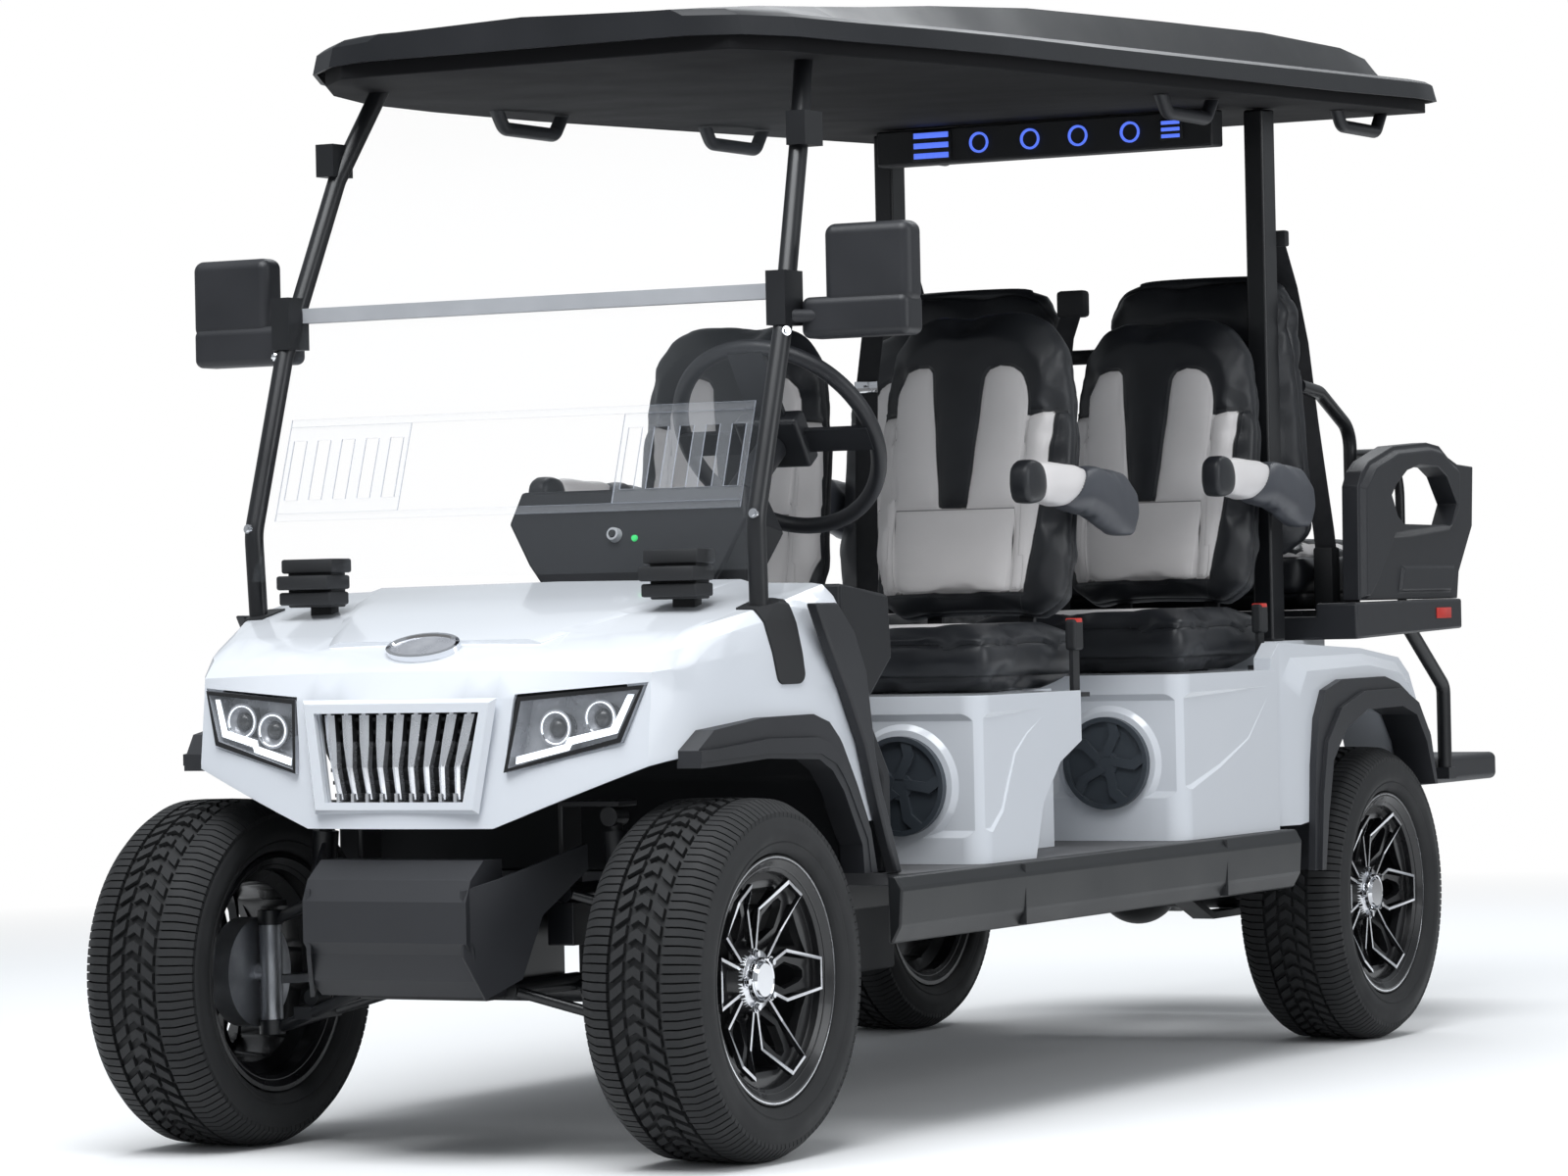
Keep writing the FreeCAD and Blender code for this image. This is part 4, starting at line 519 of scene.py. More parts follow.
def loopRib(work, points, outward):
    # a mitred rib along the points, bright on its outward face
    sides = []
    for i, spot in enumerate(points):
        before, after = points[max(0, i - 1)], points[min(len(points) - 1, i + 1)]
        turns = [(b - a).cross(outward).normalized() for a, b in ((before, spot), (spot, after)) if (b - a).length > 0]
        side = sum(turns, Vector()).normalized()
        sides.append(side * (wheelLook["ribWidth"] / 2 / max(wheelLook["mitreLimit"], side.dot(turns[0]))))
    band(work, points, sides, [(Vector(), outward * -wheelLook["ribDepth"])] * len(points), 1)


def dressWheel(end, hand):
    side = 1 if hand == "left" else -1
    outward = Vector((side, 0, 0))
    makeTyre("tyre_%s_%s" % (end, hand))
    node = "rim_%s_%s" % (end, hand)
    low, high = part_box(node)
    centre = (low + high) / 2
    reach = (high.z - low.z) / 2

    def awayOf(spot):
        return math.hypot(spot.y - centre.y, spot.z - centre.z)

    ahead = [((vert.co.x - centre.x) * side, awayOf(vert.co)) for vert in skins[node].data.vertices]
    edge = max(x for x, away in ahead)
    near, far = wheelLook["spokeBand"]
    spokeFace = max(x for x, away in ahead if near < away < far)

    def loops(work):
        inner, outer = wheelLook["middleCorner"], wheelLook["outerCorner"]
        for number in range(wheelLook["loops"]):
            points = []
            for away, degrees in wheelLook["corners"]:
                turn = math.radians(degrees) + math.tau * number / wheelLook["loops"]
                share = max(0.0, (away - inner) / (outer - inner))
                rise = spokeFace + wheelLook["ribLift"] + share * (edge - wheelLook["ribBack"] - spokeFace)
                points.append(centre + Vector((side * rise, away * math.cos(turn), away * math.sin(turn))))
            loopRib(work, points, outward)

    def trimRing(work):
        profile = [(along, reach - drop) for along, drop in wheelLook["trim"]]
        hoop(work, centre + outward * (edge - wheelLook["trimBack"]), outward, profile, 96)

    def hub(work):
        spot = centre + outward * ((high.x - low.x) / 2 - hubLook["back"])
        disc(work, spot, outward, hubLook["cap"], hubLook["capDepth"], 40, hubLook["cap"] * hubLook["capTop"])
        hoop(work, spot, outward, hubLook["ring"], 40)
        for lug in range(hubLook["lugs"]):
            turn = math.tau * (lug + 0.5) / hubLook["lugs"]
            place = spot + Vector((0, math.cos(turn), math.sin(turn))) * hubLook["lugCircle"]
            disc(work, place - outward * hubLook["lugBack"], outward, *hubLook["lug"])
            hoop(work, place - outward * hubLook["seatBack"], outward, hubLook["seat"], 20, 1)

    def isHub(middle, normal, reach):
        return awayOf(middle) + reach < wheelLook["brightHub"] and normal.x * side > wheelLook["brightFacing"]

    paintFaces(skins[node], machinedAlloy, isHub)
    build("spoke_loops_%s_%s" % (end, hand), node, [machinedAlloy, rimBlack], loops, 25)
    build("rim_edge_%s_%s" % (end, hand), node, [machinedAlloy], trimRing, 40)
    build("hub_%s_%s" % (end, hand), node, [chrome, rimBlack], hub)


for end in ("front", "rear"):
    for hand in ("left", "right"):
        dressWheel(end, hand)
print("wheels ready")


# Lamps, grille, emblem, vents and latches

# the lamps' leaning face: its start, and its slopes away from the cart's middle and upwards
lampPlane = {"start": -0.214, "x": 0.199, "z": 0.632, "slopeX": 0.2095, "slopeZ": 0.1741}
lampLook = {"stripFront": 0.0095, "stripDepth": 0.0025, "deep": 0.014, "deepFacing": 0.2,
            "strip": ((0.216, 0.6455), (0.302, 0.6665), (0.306, 0.6755), (0.3795, 0.6925), (0.4030, 0.7540),
                      (0.3930, 0.7540), (0.3705, 0.7025), (0.2990, 0.6865), (0.2950, 0.6765), (0.216, 0.6575)),
            "projectors": ((0.272, 0.702), (0.345, 0.717)), "ringBack": 0.020, "bulbBack": 0.034, "bulb": 0.0165,
            "ring": ((0, 0.0245), (0.002, 0.0250), (0.002, 0.0262), (-0.004, 0.0275), (-0.004, 0.0245))}
slatFront = 0.1985  # the slats' front faces stand this far ahead of the front axle
ventEdgeFacing = 0.75  # a vent's face that looks less forwards or backwards than this is a cut edge


def lampFace(x, z):
    # distance behind the front axle of a lamp's leaning face
    return (lampPlane["start"] + lampPlane["slopeX"] * (abs(x) - lampPlane["x"]) +
            lampPlane["slopeZ"] * (z - lampPlane["z"]))


def paintDetails():
    # silver behind the lamps' lenses, bright fronts on the slats, and cut edges of the vents that catch the light
    def deepBack(middle, normal, reach):
        depth = middle.y - frontAxle - lampFace(middle.x, middle.z)
        return depth > lampLook["deep"] and normal.y < lampLook["deepFacing"]

    paintFaces(skins["headlamps"], lampSilver, deepBack)
    paintFaces(skins["grille"], brightBar, lambda middle, normal, reach: middle.y <= frontAxle - slatFront)
    paintFaces(skins["windshield_vents"], clearEdge, lambda middle, normal, reach: abs(normal.y) < ventEdgeFacing)


def makeLampLights():
    def lights(work):
        for side in (1, -1):
            points = [at(side * x, lampFace(x, z) + lampLook["stripFront"], z) for x, z in lampLook["strip"]]
            slab(work, points, Vector((0, lampLook["stripDepth"], 0)))
            for x, z in lampLook["projectors"]:
                centre = at(side * x, lampFace(x, z), z)
                hoop(work, centre + Vector((0, lampLook["ringBack"], 0)), (0, -1, 0), lampLook["ring"], 32, 1)
                place = Matrix.Translation(centre + Vector((0, lampLook["bulbBack"], 0)))
                made = bmesh.ops.create_uvsphere(work, u_segments=24, v_segments=12, radius=lampLook["bulb"],
                                                 matrix=place)
                tint(made["verts"], 2)

    build("headlamp_lights", "headlamps", [ledWhite, chrome, rimBlack], lights, 40)


# each ring of the emblem is (shrink, lift) from its full oval
emblemLook = {"halfWidth": 0.068, "halfHeight": 0.040, "centre": (0.0, -0.127, 0.8345), "lean": 29.0, "sides": 48,
              "rings": ((0.0, -0.006), (0.0, 0.005), (0.006, 0.006), (0.008, 0.002))}


def makeEmblem():
    lean = math.radians(emblemLook["lean"])
    rise = Vector((0, math.cos(lean), math.sin(lean)))
    out = Vector((0, -math.sin(lean), math.cos(lean)))
    centre = at(*emblemLook["centre"])

    def oval(shrink, lift):
        turns = [math.tau * i / emblemLook["sides"] for i in range(emblemLook["sides"])]
        return [centre + Vector((1, 0, 0)) * math.cos(turn) * (emblemLook["halfWidth"] - shrink) +
                rise * math.sin(turn) * (emblemLook["halfHeight"] - shrink) + out * lift for turn in turns]

    def shape(work):
        rows = [[work.verts.new(point) for point in oval(*ring)] for ring in emblemLook["rings"]]
        for row, further in zip(rows, rows[1:]):
            for i in range(len(row)):
                work.faces.new([row[i], row[i - 1], further[i - 1], further[i]])
        work.faces.new(rows[0])
        work.faces.new(rows[-1]).material_index = 1

    build("oval_emblem", "grille", [chrome, lampSilver], shape, 24)


# each block is (inset, near, far, foot, top, edge): three ribs, the core that grips the pane, and its foot
latchLook = {"inner": 0.303, "outer": 0.407,
             "blocks": ((0, 0.066, 0.128, 0.962, 0.986, 0.004), (0, 0.050, 0.122, 0.934, 0.958, 0.004),
                        (0, 0.058, 0.118, 0.908, 0.930, 0.004), (0.008, 0.075, 0.120, 0.904, 0.984, 0.003),
                        (0.030, 0.108, 0.132, 0.864, 0.914, 0.003))}


def makeLatches():
    def shape(work):
        for side in (1, -1):
            start, end = sorted((side * latchLook["inner"], side * latchLook["outer"]))
            for inset, near, far, foot, top, edge in latchLook["blocks"]:
                roundedBlock(work, at(start + inset, near, foot), at(end - inset, far, top), edge)

    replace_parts(build("ribbed_latches", "windshield_latches", [matBlack], shape), "windshield_latches")


paintDetails()
makeLampLights()
makeEmblem()
print("front details ready")


# Seats: blown up with Cloth inside each CAD solid's box, then stitched

clothLook = {"use_pressure": True, "uniform_pressure_force": 4.0, "quality": 4, "bending_stiffness": 2}
softLook = {"shrink": 0.008, "frames": 20, "smoothing": 9, "cap": 0.026, "puff": 0.004,
            "puffWidth": 0.022, "seamDepth": 0.0035, "seamWidth": 0.0050, "rowStep": 0.830, "rowRise": 0.019,
            "lean": 10.0, "farAway": 0.05, "startSmoothing": 4}
seatRows = (("front", Vector()), ("middle", Vector((0, softLook["rowStep"], softLook["rowRise"]))))
# the node, the least x and greatest distance behind the front axle of the solid that is taken, the remesh voxel
seatPlans = (("seat_cushions", 0, 1.6, 0.0085), ("seat_backs", 0, 1.8, 0.0085), ("rear_seat_backs", 0, 9, 0.0085),
             ("rear_seat_cushion", -9, 9, 0.0095), ("armrest_front_left", 0, 9, 0.0055))
backLook = {"middle": 0.258, "foot": (1.303, 0.864), "seamHeight": 0.381, "blockHeight": 0.198, "sideSeam": 0.045,
            "seamEnds": (-0.160, 0.119), "blockEnds": (-0.149, 0.106), "nearCream": -0.004, "frontFacing": -0.15,
            "rearLift": 0.010,
            "panels": (((-0.147, 0.201), (-0.161, 0.395), (-0.159, 0.420), (-0.150, 0.442), (-0.133, 0.457),
                        (-0.110, 0.465), (-0.087, 0.465), (-0.079, 0.458), (-0.054, 0.201), (0.003, 0.200),
                        (0.030, 0.445), (0.040, 0.458), (0.060, 0.465), (0.086, 0.462), (0.106, 0.449), (0.117, 0.427),
                        (0.122, 0.395), (0.121, 0.367), (0.104, 0.194), (0.091, 0.050), (0.085, 0.040),
                        (-0.128, 0.040), (-0.137, 0.052)),
                       ((-0.202, 0.379), (-0.159, 0.378), (-0.147, 0.200), (-0.137, 0.040), (-0.174, 0.041),
                        (-0.205, 0.120)),
                       ((0.121, 0.367), (0.173, 0.381), (0.162, 0.281), (0.149, 0.183), (0.124, 0.040), (0.094, 0.041),
                        (0.105, 0.194)))}
seatLook = {"halfWidth": 0.105, "front": 0.060, "back": 0.330, "taper": 0.02, "baseHeight": 0.022, "topHeight": 0.088,
            "topFacing": 0.5}
armLook = {"tip": 0.075, "bandLow": 0.165, "bandHigh": 0.245, "slantFoot": 0.045, "slantRise": 0.075}
rearLook = {"bandLow": 0.112, "bandHigh": 0.150, "seam": 0.030, "half": 0.205, "corner": 0.075, "middle": 0.258,
            "row": 0.02, "leastHalf": 0.02, "topFacing": 0.75}


def solidOf(node, fromX, toDistance):
    # the node's solid past fromX and ahead of toDistance, merged
    work = bmesh.new()
    work.from_mesh(nodes[node].data)
    bmesh.ops.remove_doubles(work, verts=work.verts, dist=skinLook["weld"])
    others = [vert for vert in work.verts if vert.co.x < fromX or vert.co.y > frontAxle + toDistance]
    bmesh.ops.delete(work, geom=others, context="VERTS")
    return meshOf(work, node + "_solid")


def boxOf(mesh):
    places = [vert.co for vert in mesh.vertices]
    return (Vector([min(place[i] for place in places) for i in range(3)]),
            Vector([max(place[i] for place in places) for i in range(3)]))


def fitInto(mesh, low, high):
    # stretches the mesh to fill the box
    ownLow, ownHigh = boxOf(mesh)
    for vert in mesh.vertices:
        vert.co = Vector([low[i] + (vert.co[i] - ownLow[i]) * (high[i] - low[i]) / (ownHigh[i] - ownLow[i])
                          for i in range(3)])


def finished(piece):
    # the piece's mesh with its modifiers worked in
    return bpy.data.meshes.new_from_object(piece.evaluated_get(bpy.context.evaluated_depsgraph_get()))


def evenOut(piece, rounds):
    even = piece.modifiers.new("even", "SMOOTH")
    even.factor = 0.5
    even.iterations = rounds


def startCushion(node, fromX, toDistance, voxel):
    # one solid of the node, a little smaller and remeshed, ready to be blown up
    mesh = solidOf(node, fromX, toDistance)
    low, high = boxOf(mesh)
    inset = Vector((1, 1, 1)) * softLook["shrink"]
    fitInto(mesh, low + inset, high - inset)
    piece = newObject(node + "_soft", mesh)
    shell = piece.modifiers.new("shell", "REMESH")
    shell.mode = "VOXEL"
    shell.voxel_size = voxel
    evenOut(piece, softLook["startSmoothing"])
    piece.data = finished(piece)
    piece.modifiers.clear()
    return {"piece": piece, "low": low, "high": high, "start": [vert.co.copy() for vert in piece.data.vertices]}


def inflate(soft):
    # blows every cushion up at once, with no gravity
    for item in soft:
        cloth = item["piece"].modifiers.new("cloth", "CLOTH")
        for name, value in clothLook.items():
            setattr(cloth.settings, name, value)
        cloth.settings.effector_weights.gravity = 0
        cloth.collision_settings.use_collision = False
        cloth.point_cache.frame_end = softLook["frames"]
        evenOut(item["piece"], softLook["smoothing"])
    for step in range(1, softLook["frames"] + 1):
        scene.frame_set(step)
    for item in soft:
        item["blown"] = finished(item["piece"])
    for item in soft:
        item["piece"].modifiers.clear()
    scene.frame_set(1)


def settle(item, blown):
    # keeps the growth under the cap and fills the solid's box
    for vert, start in zip(blown.vertices, item["start"]):
        move = vert.co - start
        if move.length > softLook["cap"]:
            vert.co = start + move.normalized() * softLook["cap"]
    fitInto(blown, item["low"], item["high"])
    return blown


def fromPolygon(u, v, corners):
    # distance to the outline, above zero inside it
    inside, nearest = False, 9.0
    for (ax, ay), (bx, by) in zip(corners, corners[1:] + corners[:1]):
        if (ay > v) != (by > v) and u < (bx - ax) * (v - ay) / (by - ay) + ax:
            inside = not inside
        share = max(0, min(1, ((u - ax) * (bx - ax) + (v - ay) * (by - ay)) / ((bx - ax) ** 2 + (by - ay) ** 2)))
        nearest = min(nearest, math.hypot(u - ax - share * (bx - ax), v - ay - share * (by - ay)))
    return nearest if inside else -nearest


def farFrom(**near):
    # signed distances to every panel and seam, out of reach but for those given
    far = softLook["farAway"]
    return {"cream": -far, "grey": -far, "seamA": far, "seamB": far, "seamC": far, **near}


def backReading(place, normal, facing, foot):
    # facing is -1 for a seat back that looks forward
    lean = math.radians(softLook["lean"])
    rise = Vector((0, -facing * math.sin(lean), math.cos(lean)))
    depth = Vector((0, -facing * math.cos(lean), -math.sin(lean)))
    u, v, w = place.x - foot.x, (place - foot).dot(rise), (place - foot).dot(depth)
    found = farFrom(seamC=w - backLook["sideSeam"])
    if normal.dot(depth) < backLook["frontFacing"]:
        found["cream"] = max(fromPolygon(u, v, list(corners)) for corners in backLook["panels"])
        if not backLook["seamEnds"][0] < u < backLook["seamEnds"][1]:
            found["seamA"] = v - backLook["seamHeight"]
        if backLook["blockEnds"][0] < u < backLook["blockEnds"][1] and found["cream"] > backLook["nearCream"]:
            found["seamB"] = v - backLook["blockHeight"]
    return found


def seatReading(place, normal, box):
    rise = place.z - box["low"].z
    if normal.z <= seatLook["topFacing"]:
        return farFrom(seamA=rise - seatLook["baseHeight"], seamC=rise - seatLook["topHeight"])
    wide, narrow = seatLook["halfWidth"], seatLook["halfWidth"] - seatLook["taper"]
    corners = [(-wide, seatLook["front"]), (wide, seatLook["front"]), (narrow, seatLook["back"]),
               (-narrow, seatLook["back"])]
    cream = fromPolygon(place.x - (box["low"].x + box["high"].x) / 2, place.y - box["low"].y, corners)
    return farFrom(cream=cream, seamA=rise - seatLook["baseHeight"])


def armReading(place, normal, box):
    away = place.y - box["low"].y
    rise = (place.z - box["low"].z - armLook["slantFoot"]) / armLook["slantRise"]
    slant = armLook["bandLow"] + (armLook["bandHigh"] - armLook["bandLow"]) * rise
    return farFrom(cream=min(away - armLook["tip"], slant - away), grey=away - slant)


def rearSeatReading(place, normal, box):
    # the cream band runs round the top of the side
    rise = place.z - box["low"].z
    if normal.z >= rearLook["topFacing"]:
        return farFrom(seamA=rise - rearLook["seam"])
    return farFrom(cream=min(rise - rearLook["bandLow"], rearLook["bandHigh"] - rise), seamA=rise - rearLook["seam"])


def squareUp(mesh, low, high):
    # widens the rear seats' back: straight sides and tighter corners at top and foot
    rows = {}
    middle = (low.x + high.x) / 2
    for vert in mesh.vertices:
        row = round((vert.co.z - low.z) / rearLook["row"])
        rows[row] = max(rows.get(row, 0.0), abs(vert.co.x - middle))
    corner, half = rearLook["corner"], rearLook["half"]
    for vert in mesh.vertices:
        level = (vert.co.z - low.z) / rearLook["row"]
        row, share = int(level), level - int(level)
        wide = rows.get(row, 0.01) * (1 - share) + rows.get(row + 1, rows.get(row, 0.01)) * share
        rise = max(0.0, corner - (high.z - vert.co.z), corner - (vert.co.z - low.z))
        goal = half - corner + math.sqrt(max(0.0, corner ** 2 - rise ** 2))
        vert.co.x = rearLook["middle"] + (vert.co.x - middle) * goal / max(wide, rearLook["leastHalf"])


def stitch(mesh, reading, *more):
    # writes the distances and presses the seams in
    values = {name: [] for name in seamNames}
    far = softLook["farAway"]
    normals = [vert.normal.copy() for vert in mesh.vertices]
    for vert, normal in zip(mesh.vertices, normals):
        found = reading(vert.co, normal, *more)
        nearest = min(abs(found[name]) for name in seamNames)
        hollow = softLook["seamDepth"] * math.exp(-(nearest / softLook["seamWidth"]) ** 2)
        dip = softLook["puff"] * math.exp(-(nearest / softLook["puffWidth"]) ** 2)
        vert.co = vert.co - normal * (hollow + dip)
        for name in seamNames:
            values[name].append(max(-far, min(far, found[name])))
    for name in seamNames:
        mesh.attributes.new(name, "FLOAT", "POINT").data.foreach_set("value", values[name])
    for face in mesh.polygons:
        face.use_smooth = True


def softPiece(name, mesh, node, move=(0, 0, 0), mirrored=False):
    # places a copy of the stitched mesh, mirrored for the right-hand seats
    made = mesh.copy()
    made.transform(Matrix.Translation(Vector(move)) @ Matrix.Scale(-1 if mirrored else 1, 4, (1, 0, 0)))
    if mirrored:
        made.flip_normals()
    made.materials.clear()
    made.materials.append(leather)
    piece = addPiece(name, made, node)
    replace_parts(piece, node)


def makeSeats():
    soft = [startCushion(*plan) for plan in seatPlans]
    print("cushions started:", [len(item["start"]) for item in soft])
    inflate(soft)
    cushion, back, rearBack, rearCushion, arm = [settle(item, item["blown"]) for item in soft]
    for item in soft:
        bpy.data.objects.remove(item["piece"])
    print("cushions blown up")
    squareUp(rearBack, soft[2]["low"], soft[2]["high"])
    foot = at(backLook["middle"], *backLook["foot"])
    low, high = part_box("rear_seat_backs")
    rearY = high.y - (foot.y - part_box("seat_backs")[0].y)
    rearFoot = Vector((rearLook["middle"], rearY, low.z + backLook["rearLift"]))
    stitch(cushion, seatReading, soft[0])
    stitch(back, backReading, -1, foot)
    stitch(rearBack, backReading, 1, rearFoot)
    stitch(rearCushion, rearSeatReading, soft[3])
    stitch(arm, armReading, soft[4])
    hands = (("left", False), ("right", True))
    for row, move in seatRows:
        for hand, mirrored in hands:
            place = "%s_%s" % (row, hand)
            softPiece("soft_cushion_" + place, cushion, "seat_cushions", move, mirrored)
            softPiece("soft_back_" + place, back, "seat_backs", move, mirrored)
            softPiece("soft_armrest_" + place, arm, "armrest_" + place, move, mirrored)
    for hand, mirrored in hands:
        softPiece("soft_rear_back_" + hand, rearBack, "rear_seat_backs", mirrored=mirrored)
    softPiece("soft_rear_cushion", rearCushion, "rear_seat_cushion")


makeSeats()
print("seats ready")


# Belts, buckles, the overhead lamps, reflectors and small parts

beltLook = {"width": 0.046, "thick": 0.0014,
            "rear": ((0.417, 2.414, 1.600), (0.419, 2.470, 1.510), (0.419, 2.520, 1.400), (0.419, 2.562, 1.243),
                     (0.420, 2.598, 1.120), (0.420, 2.630, 1.020), (0.420, 2.640, 0.975)),
            "front": ((0.000, 1.520, 1.470), (0.000, 1.468, 1.400), (0.000, 1.440, 1.300), (0.000, 1.428, 1.100),
                      (0.000, 1.424, 0.840)),
            "guide": ((-0.030, -0.012, -0.010), (0.030, 0.010, 0.022), 0.004, 0),
            "anchor": ((-0.022, -0.020, -0.118), (0.022, 0.022, 0.012), 0.006, 0),
            "tongue": ((-0.024, -0.006, -0.012), (0.024, -0.002, 0.010), 0.0015, 0),
            "centreGuide": ((-0.032, -0.020, -0.025), (0.032, 0.012, 0.030), 0.008, 1),
            "button": ((-0.011, -0.013, -0.008), (0.011, 0.013, 0.0015), 0.002, 0),
            "buttonSide": 0.531, "buttons": ((1.212, 0.855), (2.042, 0.874))}


def ribbon(name, path):
    # a strap swept along the path, its width across the cart
    side = Vector((beltLook["width"] / 2, 0, 0))
    outs = []
    for i in range(len(path)):
        along = path[min(len(path) - 1, i + 1)] - path[max(0, i - 1)]
        outs.append(along.cross(Vector((1, 0, 0))).normalized() * beltLook["thick"] / 2)

    def shape(work):
        band(work, path, [side] * len(path), [(out, -out) for out in outs])

    piece = build(name, "belt_buckles", [webbing], shape, 25)


def blocksAt(work, blocks):
    # rounded blocks, each (spot, low corner, high corner, edge, material)
    for spot, low, high, edge, index in blocks:
        roundedBlock(work, spot + Vector(low), spot + Vector(high), edge, index)


def makeBelts():
    for hand, side in (("left", 1), ("right", -1)):
        path = [at(side * x, distance, z) for x, distance, z in beltLook["rear"]]
        ribbon("belt_rear_" + hand, path)
        ends = ((path[0], *beltLook["guide"]), (path[-1], *beltLook["anchor"]))
        build("belt_guides_" + hand, "belt_buckles", [matBlack], lambda work: blocksAt(work, ends))
    for row, move in seatRows:
        path = [at(*spot) + move for spot in beltLook["front"]]
        ribbon("belt_centre_" + row, path)
        ends = ((path[2], *beltLook["tongue"]), (path[0], *beltLook["centreGuide"]))
        build("belt_tongue_" + row, "belt_buckles", [chrome, matBlack], lambda work: blocksAt(work, ends))

    def tops(work):
        for side in (1, -1):
            for distance, top in beltLook["buttons"]:
                blocksAt(work, [(at(side * beltLook["buttonSide"], distance, top), *beltLook["button"])])

    build("buckle_buttons", "belt_buckles", [redPlastic], tops)


# each group of strips is (start, end, height)
barLook = {"rings": (-0.140, -0.025, 0.082, 0.197), "ringRadius": 0.021,
           "ring": ((0, 0.005), (0.005, 0.004), (0.005, 0), (0, 0)), "ringAhead": 0.001, "glassDepth": 0.002,
           "groups": ((-0.292, -0.203, 0.062), (0.262, 0.312, 0.040)), "strips": 3, "stripHalf": 0.09,
           "margin": 0.005, "backing": (0.004, 0.002), "backingEdge": 0.002, "strip": (0.0055, 0.0035),
           "stripEdge": 0.0006}


def dressLightBar():
    low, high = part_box("overhead_light_bar")
    front, height = low.y, (low.z + high.z) / 2
    radius = barLook["ringRadius"]

    def across(work, first, last, near, far, middle, half, edge, index):
        roundedBlock(work, (first, front - near, middle - half), (last, front + far, middle + half), edge, index)

    def lamps(work):
        for x in barLook["rings"]:
            spot = Vector((x, front + barLook["ringAhead"], height))
            hoop(work, spot, (0, -1, 0), [(along, radius - inset) for along, inset in barLook["ring"]], 28)
            disc(work, spot, (0, -1, 0), radius - barLook["ring"][0][1], barLook["glassDepth"], 28, index=1)
        near, far = barLook["strip"]
        for first, last, tall in barLook["groups"]:
            across(work, first, last, *barLook["backing"], height, tall / 2, barLook["backingEdge"], 1)
            for i in range(barLook["strips"]):
                rise = height + tall * (i - 1) / 3
                across(work, first + barLook["margin"], last - barLook["margin"], near, -far, rise,
                       tall * barLook["stripHalf"], barLook["stripEdge"], 0)

    build("overhead_lamps", "overhead_light_bar", [blueLamp, matBlack], lamps)


reflectorLook = {"start": 2.885, "end": 2.965, "low": 0.836, "high": 0.858, "thick": 0.002, "edge": 0.0006}


def makeReflectors():
    low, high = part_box("rear_tray")
    thick = reflectorLook["thick"]

    def shape(work):
        for start, end in ((high.x, high.x + thick), (low.x - thick, low.x)):
            roundedBlock(work, at(start, reflectorLook["start"], reflectorLook["low"]),
                         at(end, reflectorLook["end"], reflectorLook["high"]), reflectorLook["edge"])

    build("side_reflectors", "rear_tray", [redPlastic], shape)


# round parts are (lift, radius, depth, segments, far radius)
smallLook = {"knob": (0.0676, 0.3814, 1.0161), "light": (0.1065, 0.3797, 1.0101), "dashTurn": (0, -0.963, 0.27),
             "knobSizes": ((0, 0.013, 0.012, 28, 0.011), (0.012, 0.007, 0.003, 20, 0.006)),
             "lightSize": (0, 0.006, 0.004, 20, 0.005),
             "splits": (0.803, 1.655), "splitWidth": 0.003, "splitDepth": (0.024, 0.0015), "splitEnds": 0.004,
             "splitEdge": 0.0004,
             "boltSizes": ((-0.002, 0.0085, 0.0045, 24, 0.0080), (0.0025, 0.0055, 0.0035, 6, 0.0050)),
             "bolts": (((0.5037, 0.2054, 1.3394), (0.82, -0.53, 0.2)), ((0.4945, 0.099, 1.0405), (0.09, -0.99, 0.14)))}


def makeSmallParts():
    # the dashboard's knob and light, the rockers' splits and the bolts on the windshield posts
    def stud(work, place, turn, size, index=0):
        out = Vector(turn).normalized()
        disc(work, place + out * size[0], out, *size[1:], index)

    def dash(work):
        parts = [("knob", size) for size in smallLook["knobSizes"]] + [("light", smallLook["lightSize"])]
        for index, (spot, size) in enumerate(parts):
            stud(work, at(*smallLook[spot]), smallLook["dashTurn"], size, index)

    def splits(work):
        low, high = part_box("rockers")
        ends, deep = smallLook["splitEnds"], [high.x - depth for depth in smallLook["splitDepth"]]
        for side in (1, -1):
            inner, outer = sorted(side * x for x in deep)
            for distance in smallLook["splits"]:
                roundedBlock(work, at(inner, distance, low.z + ends),
                             at(outer, distance + smallLook["splitWidth"], high.z - ends), smallLook["splitEdge"])

    def bolts(work):
        for side in (1, -1):
            for (x, distance, z), (turn, *rest) in smallLook["bolts"]:
                for size in smallLook["boltSizes"]:
                    stud(work, at(side * x, distance, z), (side * turn, *rest), size)

    build("dash_controls", "dashboard", [stripGrey, matBlack, greenLamp], dash)
    build("rocker_splits", "rockers", [matBlack], splits)
    build("post_bolts", "windshield_posts", [chrome], bolts)


makeSmallParts()
makeLatches()
makeBelts()
dressLightBar()
makeReflectors()
print("belts, lamps and small parts ready")


# Floor, light and camera

stageSizes = {"floorHalf": 60.0, "lit": 4.2, "faded": 7.0, "white": (0.93, 0.93, 0.93),
              "bounce": (0.42, 0.43, 0.45), "farGlow": 0.22, "sky": (0.90, 0.95, 1.0)}


def straight(tree):
    # 1 for rays that come straight or through glass, 0 for light that bounces
    path = addNode(tree, "LightPath")
    seen = addNode(tree, "Math", operation="MAXIMUM")
    for i, kind in enumerate(("Is Camera Ray", "Is Transmission Ray")):
        tree.links.new(path.outputs[kind], seen.inputs[i])
    return seen.outputs["Value"]


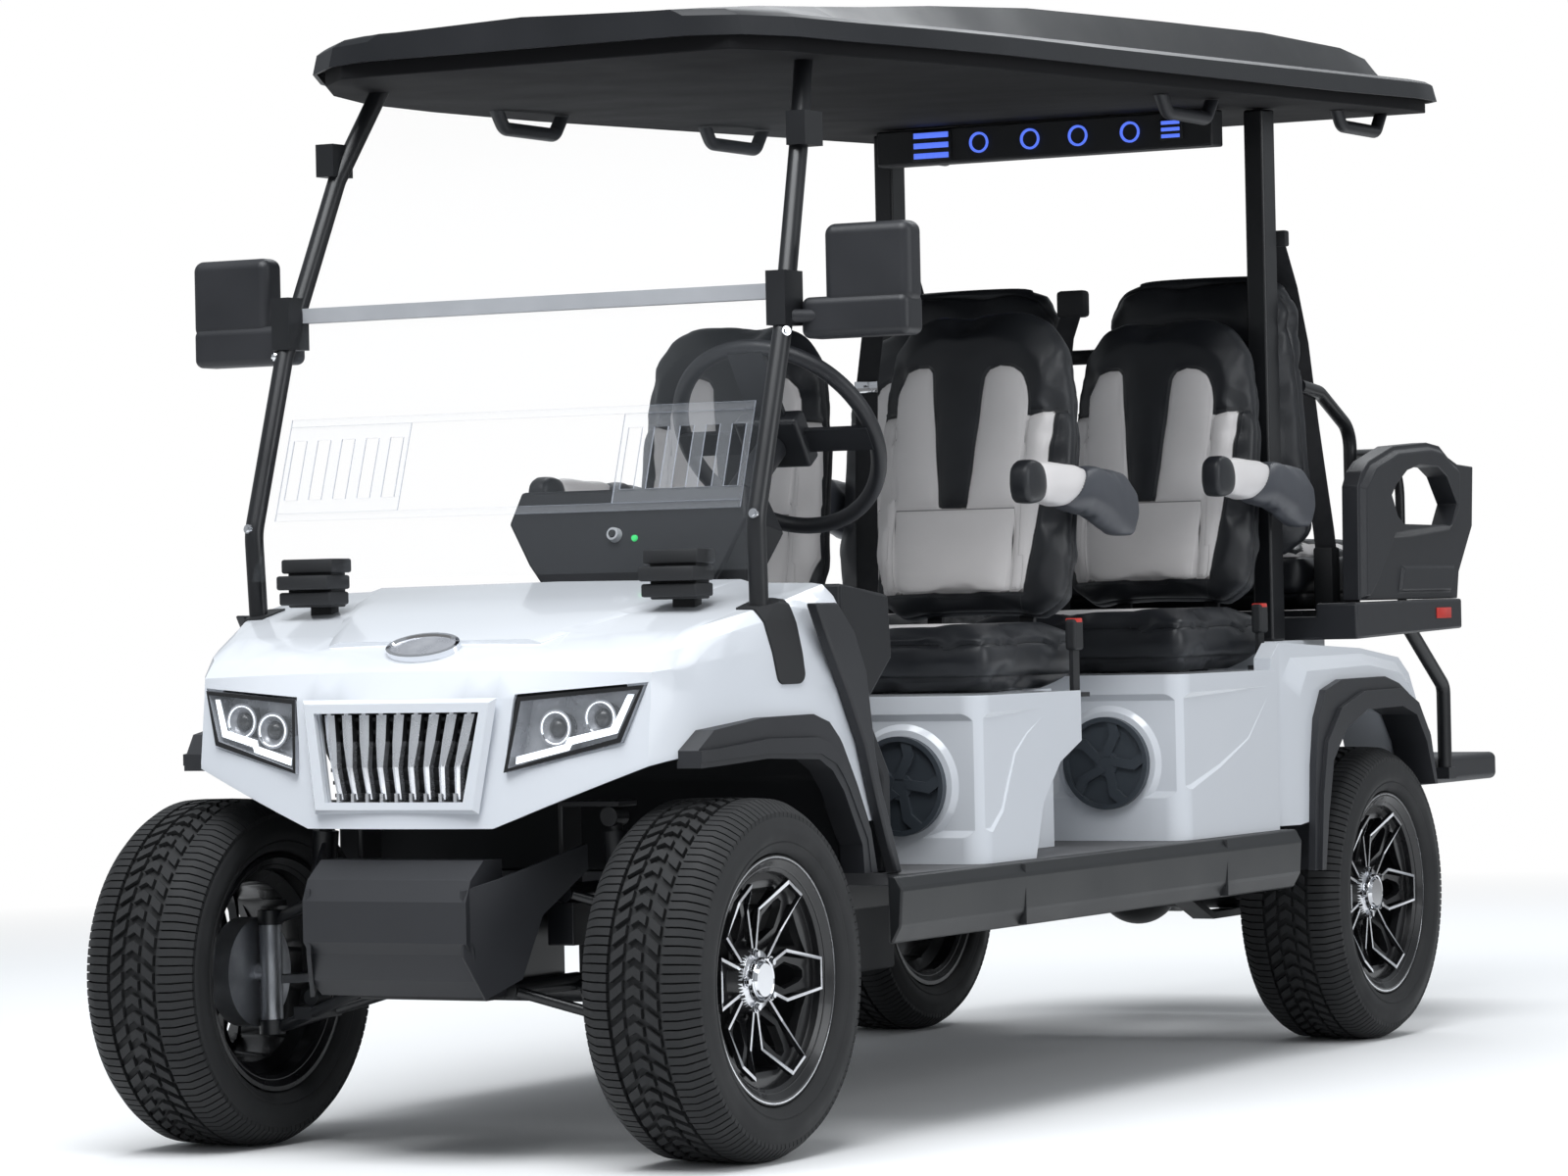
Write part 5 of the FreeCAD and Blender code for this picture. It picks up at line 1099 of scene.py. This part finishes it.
def makeFloor():
    work = bmesh.new()
    bmesh.ops.create_grid(work, x_segments=1, y_segments=1, size=stageSizes["floorHalf"])
    mesh = meshOf(work, "floor")
    floor = newObject("floor", mesh)
    made, tree, shader = newMaterial("floorWhite")
    link = tree.links.new
    path = addNode(tree, "LightPath")
    tone = colourMix(tree, path.outputs["Is Diffuse Ray"], stageSizes["white"], stageSizes["bounce"])
    link(tone, shader.inputs["Base Color"])
    setSockets(shader, Roughness=0.7, Specular_IOR_Level=0.1)
    place = addNode(tree, "TexCoord")
    length = addNode(tree, "VectorMath", operation="LENGTH")
    link(place.outputs["Object"], length.inputs[0])
    far = rangeOf(tree, length.outputs["Value"], 0, 1, stageSizes["lit"], stageSizes["faded"])
    glow = addNode(tree, "Emission", Color=(1, 1, 1, 1))
    link(rangeOf(tree, straight(tree), stageSizes["farGlow"], 1.0, 0, 1), glow.inputs["Strength"])
    mix = addNode(tree, "MixShader")
    link(far, mix.inputs["Fac"])
    link(shader.outputs["BSDF"], mix.inputs[1])
    link(glow.outputs["Emission"], mix.inputs[2])
    link(mix.outputs["Shader"], nodeOf(tree, "OUTPUT_MATERIAL").inputs["Surface"])
    mesh.materials.append(made)


def makeWorld(daylight):
    world = bpy.data.worlds.new("studio")
    scene.world = world
    world.use_nodes = True
    tree = world.node_tree
    background = nodeOf(tree, "BACKGROUND")
    seen = straight(tree)
    tree.links.new(rangeOf(tree, seen, daylight, 1.0, 0, 1), background.inputs["Strength"])
    tree.links.new(colourMix(tree, seen, stageSizes["sky"], (1, 1, 1)), background.inputs["Color"])


def addLamp(name, place, target, size, power):
    light = bpy.data.lights.new(name, "AREA")
    light.shape = "RECTANGLE"
    light.size, light.size_y = size
    light.energy = power
    light.color = lighting["colour"]
    lamp = newObject(name, light)
    lamp.location = place
    lamp.rotation_euler = (Vector(target) - Vector(place)).to_track_quat("-Z", "Y").to_euler()


lighting = {
    "daylight": 0.42, "colour": (0.95, 0.975, 1.0),
    "lamps": (("key", (0.5, -4.0, 6.0), (0, -0.6, 0.6), (5, 4), 440),
              ("fill", (6.0, -1.0, 2.6), (0, 0, 0.7), (3, 3), 90),
              ("back", (-0.5, 4.0, 6.0), (0, 0.3, 0.8), (5, 4), 260)),
}
shot = {"right": (0.87648199, 0.4809555, -0.02147416), "up": (0.02068197, 0.006948, 0.99976196),
        "back": (0.48099021, -0.87671748, -0.00385731), "place": (4.69207, -7.45464, 0.88504),
        "lens": 122.43, "sensor": 36.0}


def makeCamera():
    data = bpy.data.cameras.new("camera")
    data.lens, data.sensor_width = shot["lens"], shot["sensor"]
    data.clip_end = 200
    camera = newObject("camera", data)
    turn = Matrix((shot["right"], shot["up"], shot["back"])).transposed().to_4x4()
    x, y, z = shot["place"]
    camera.matrix_world = Matrix.Translation((x, frontAxle + y, z)) @ turn
    scene.camera = camera


makeFloor()
makeWorld(lighting["daylight"])
for lamp in lighting["lamps"]:
    addLamp(*lamp)
makeCamera()
scene.view_settings.view_transform = "Standard"
print("stage ready")
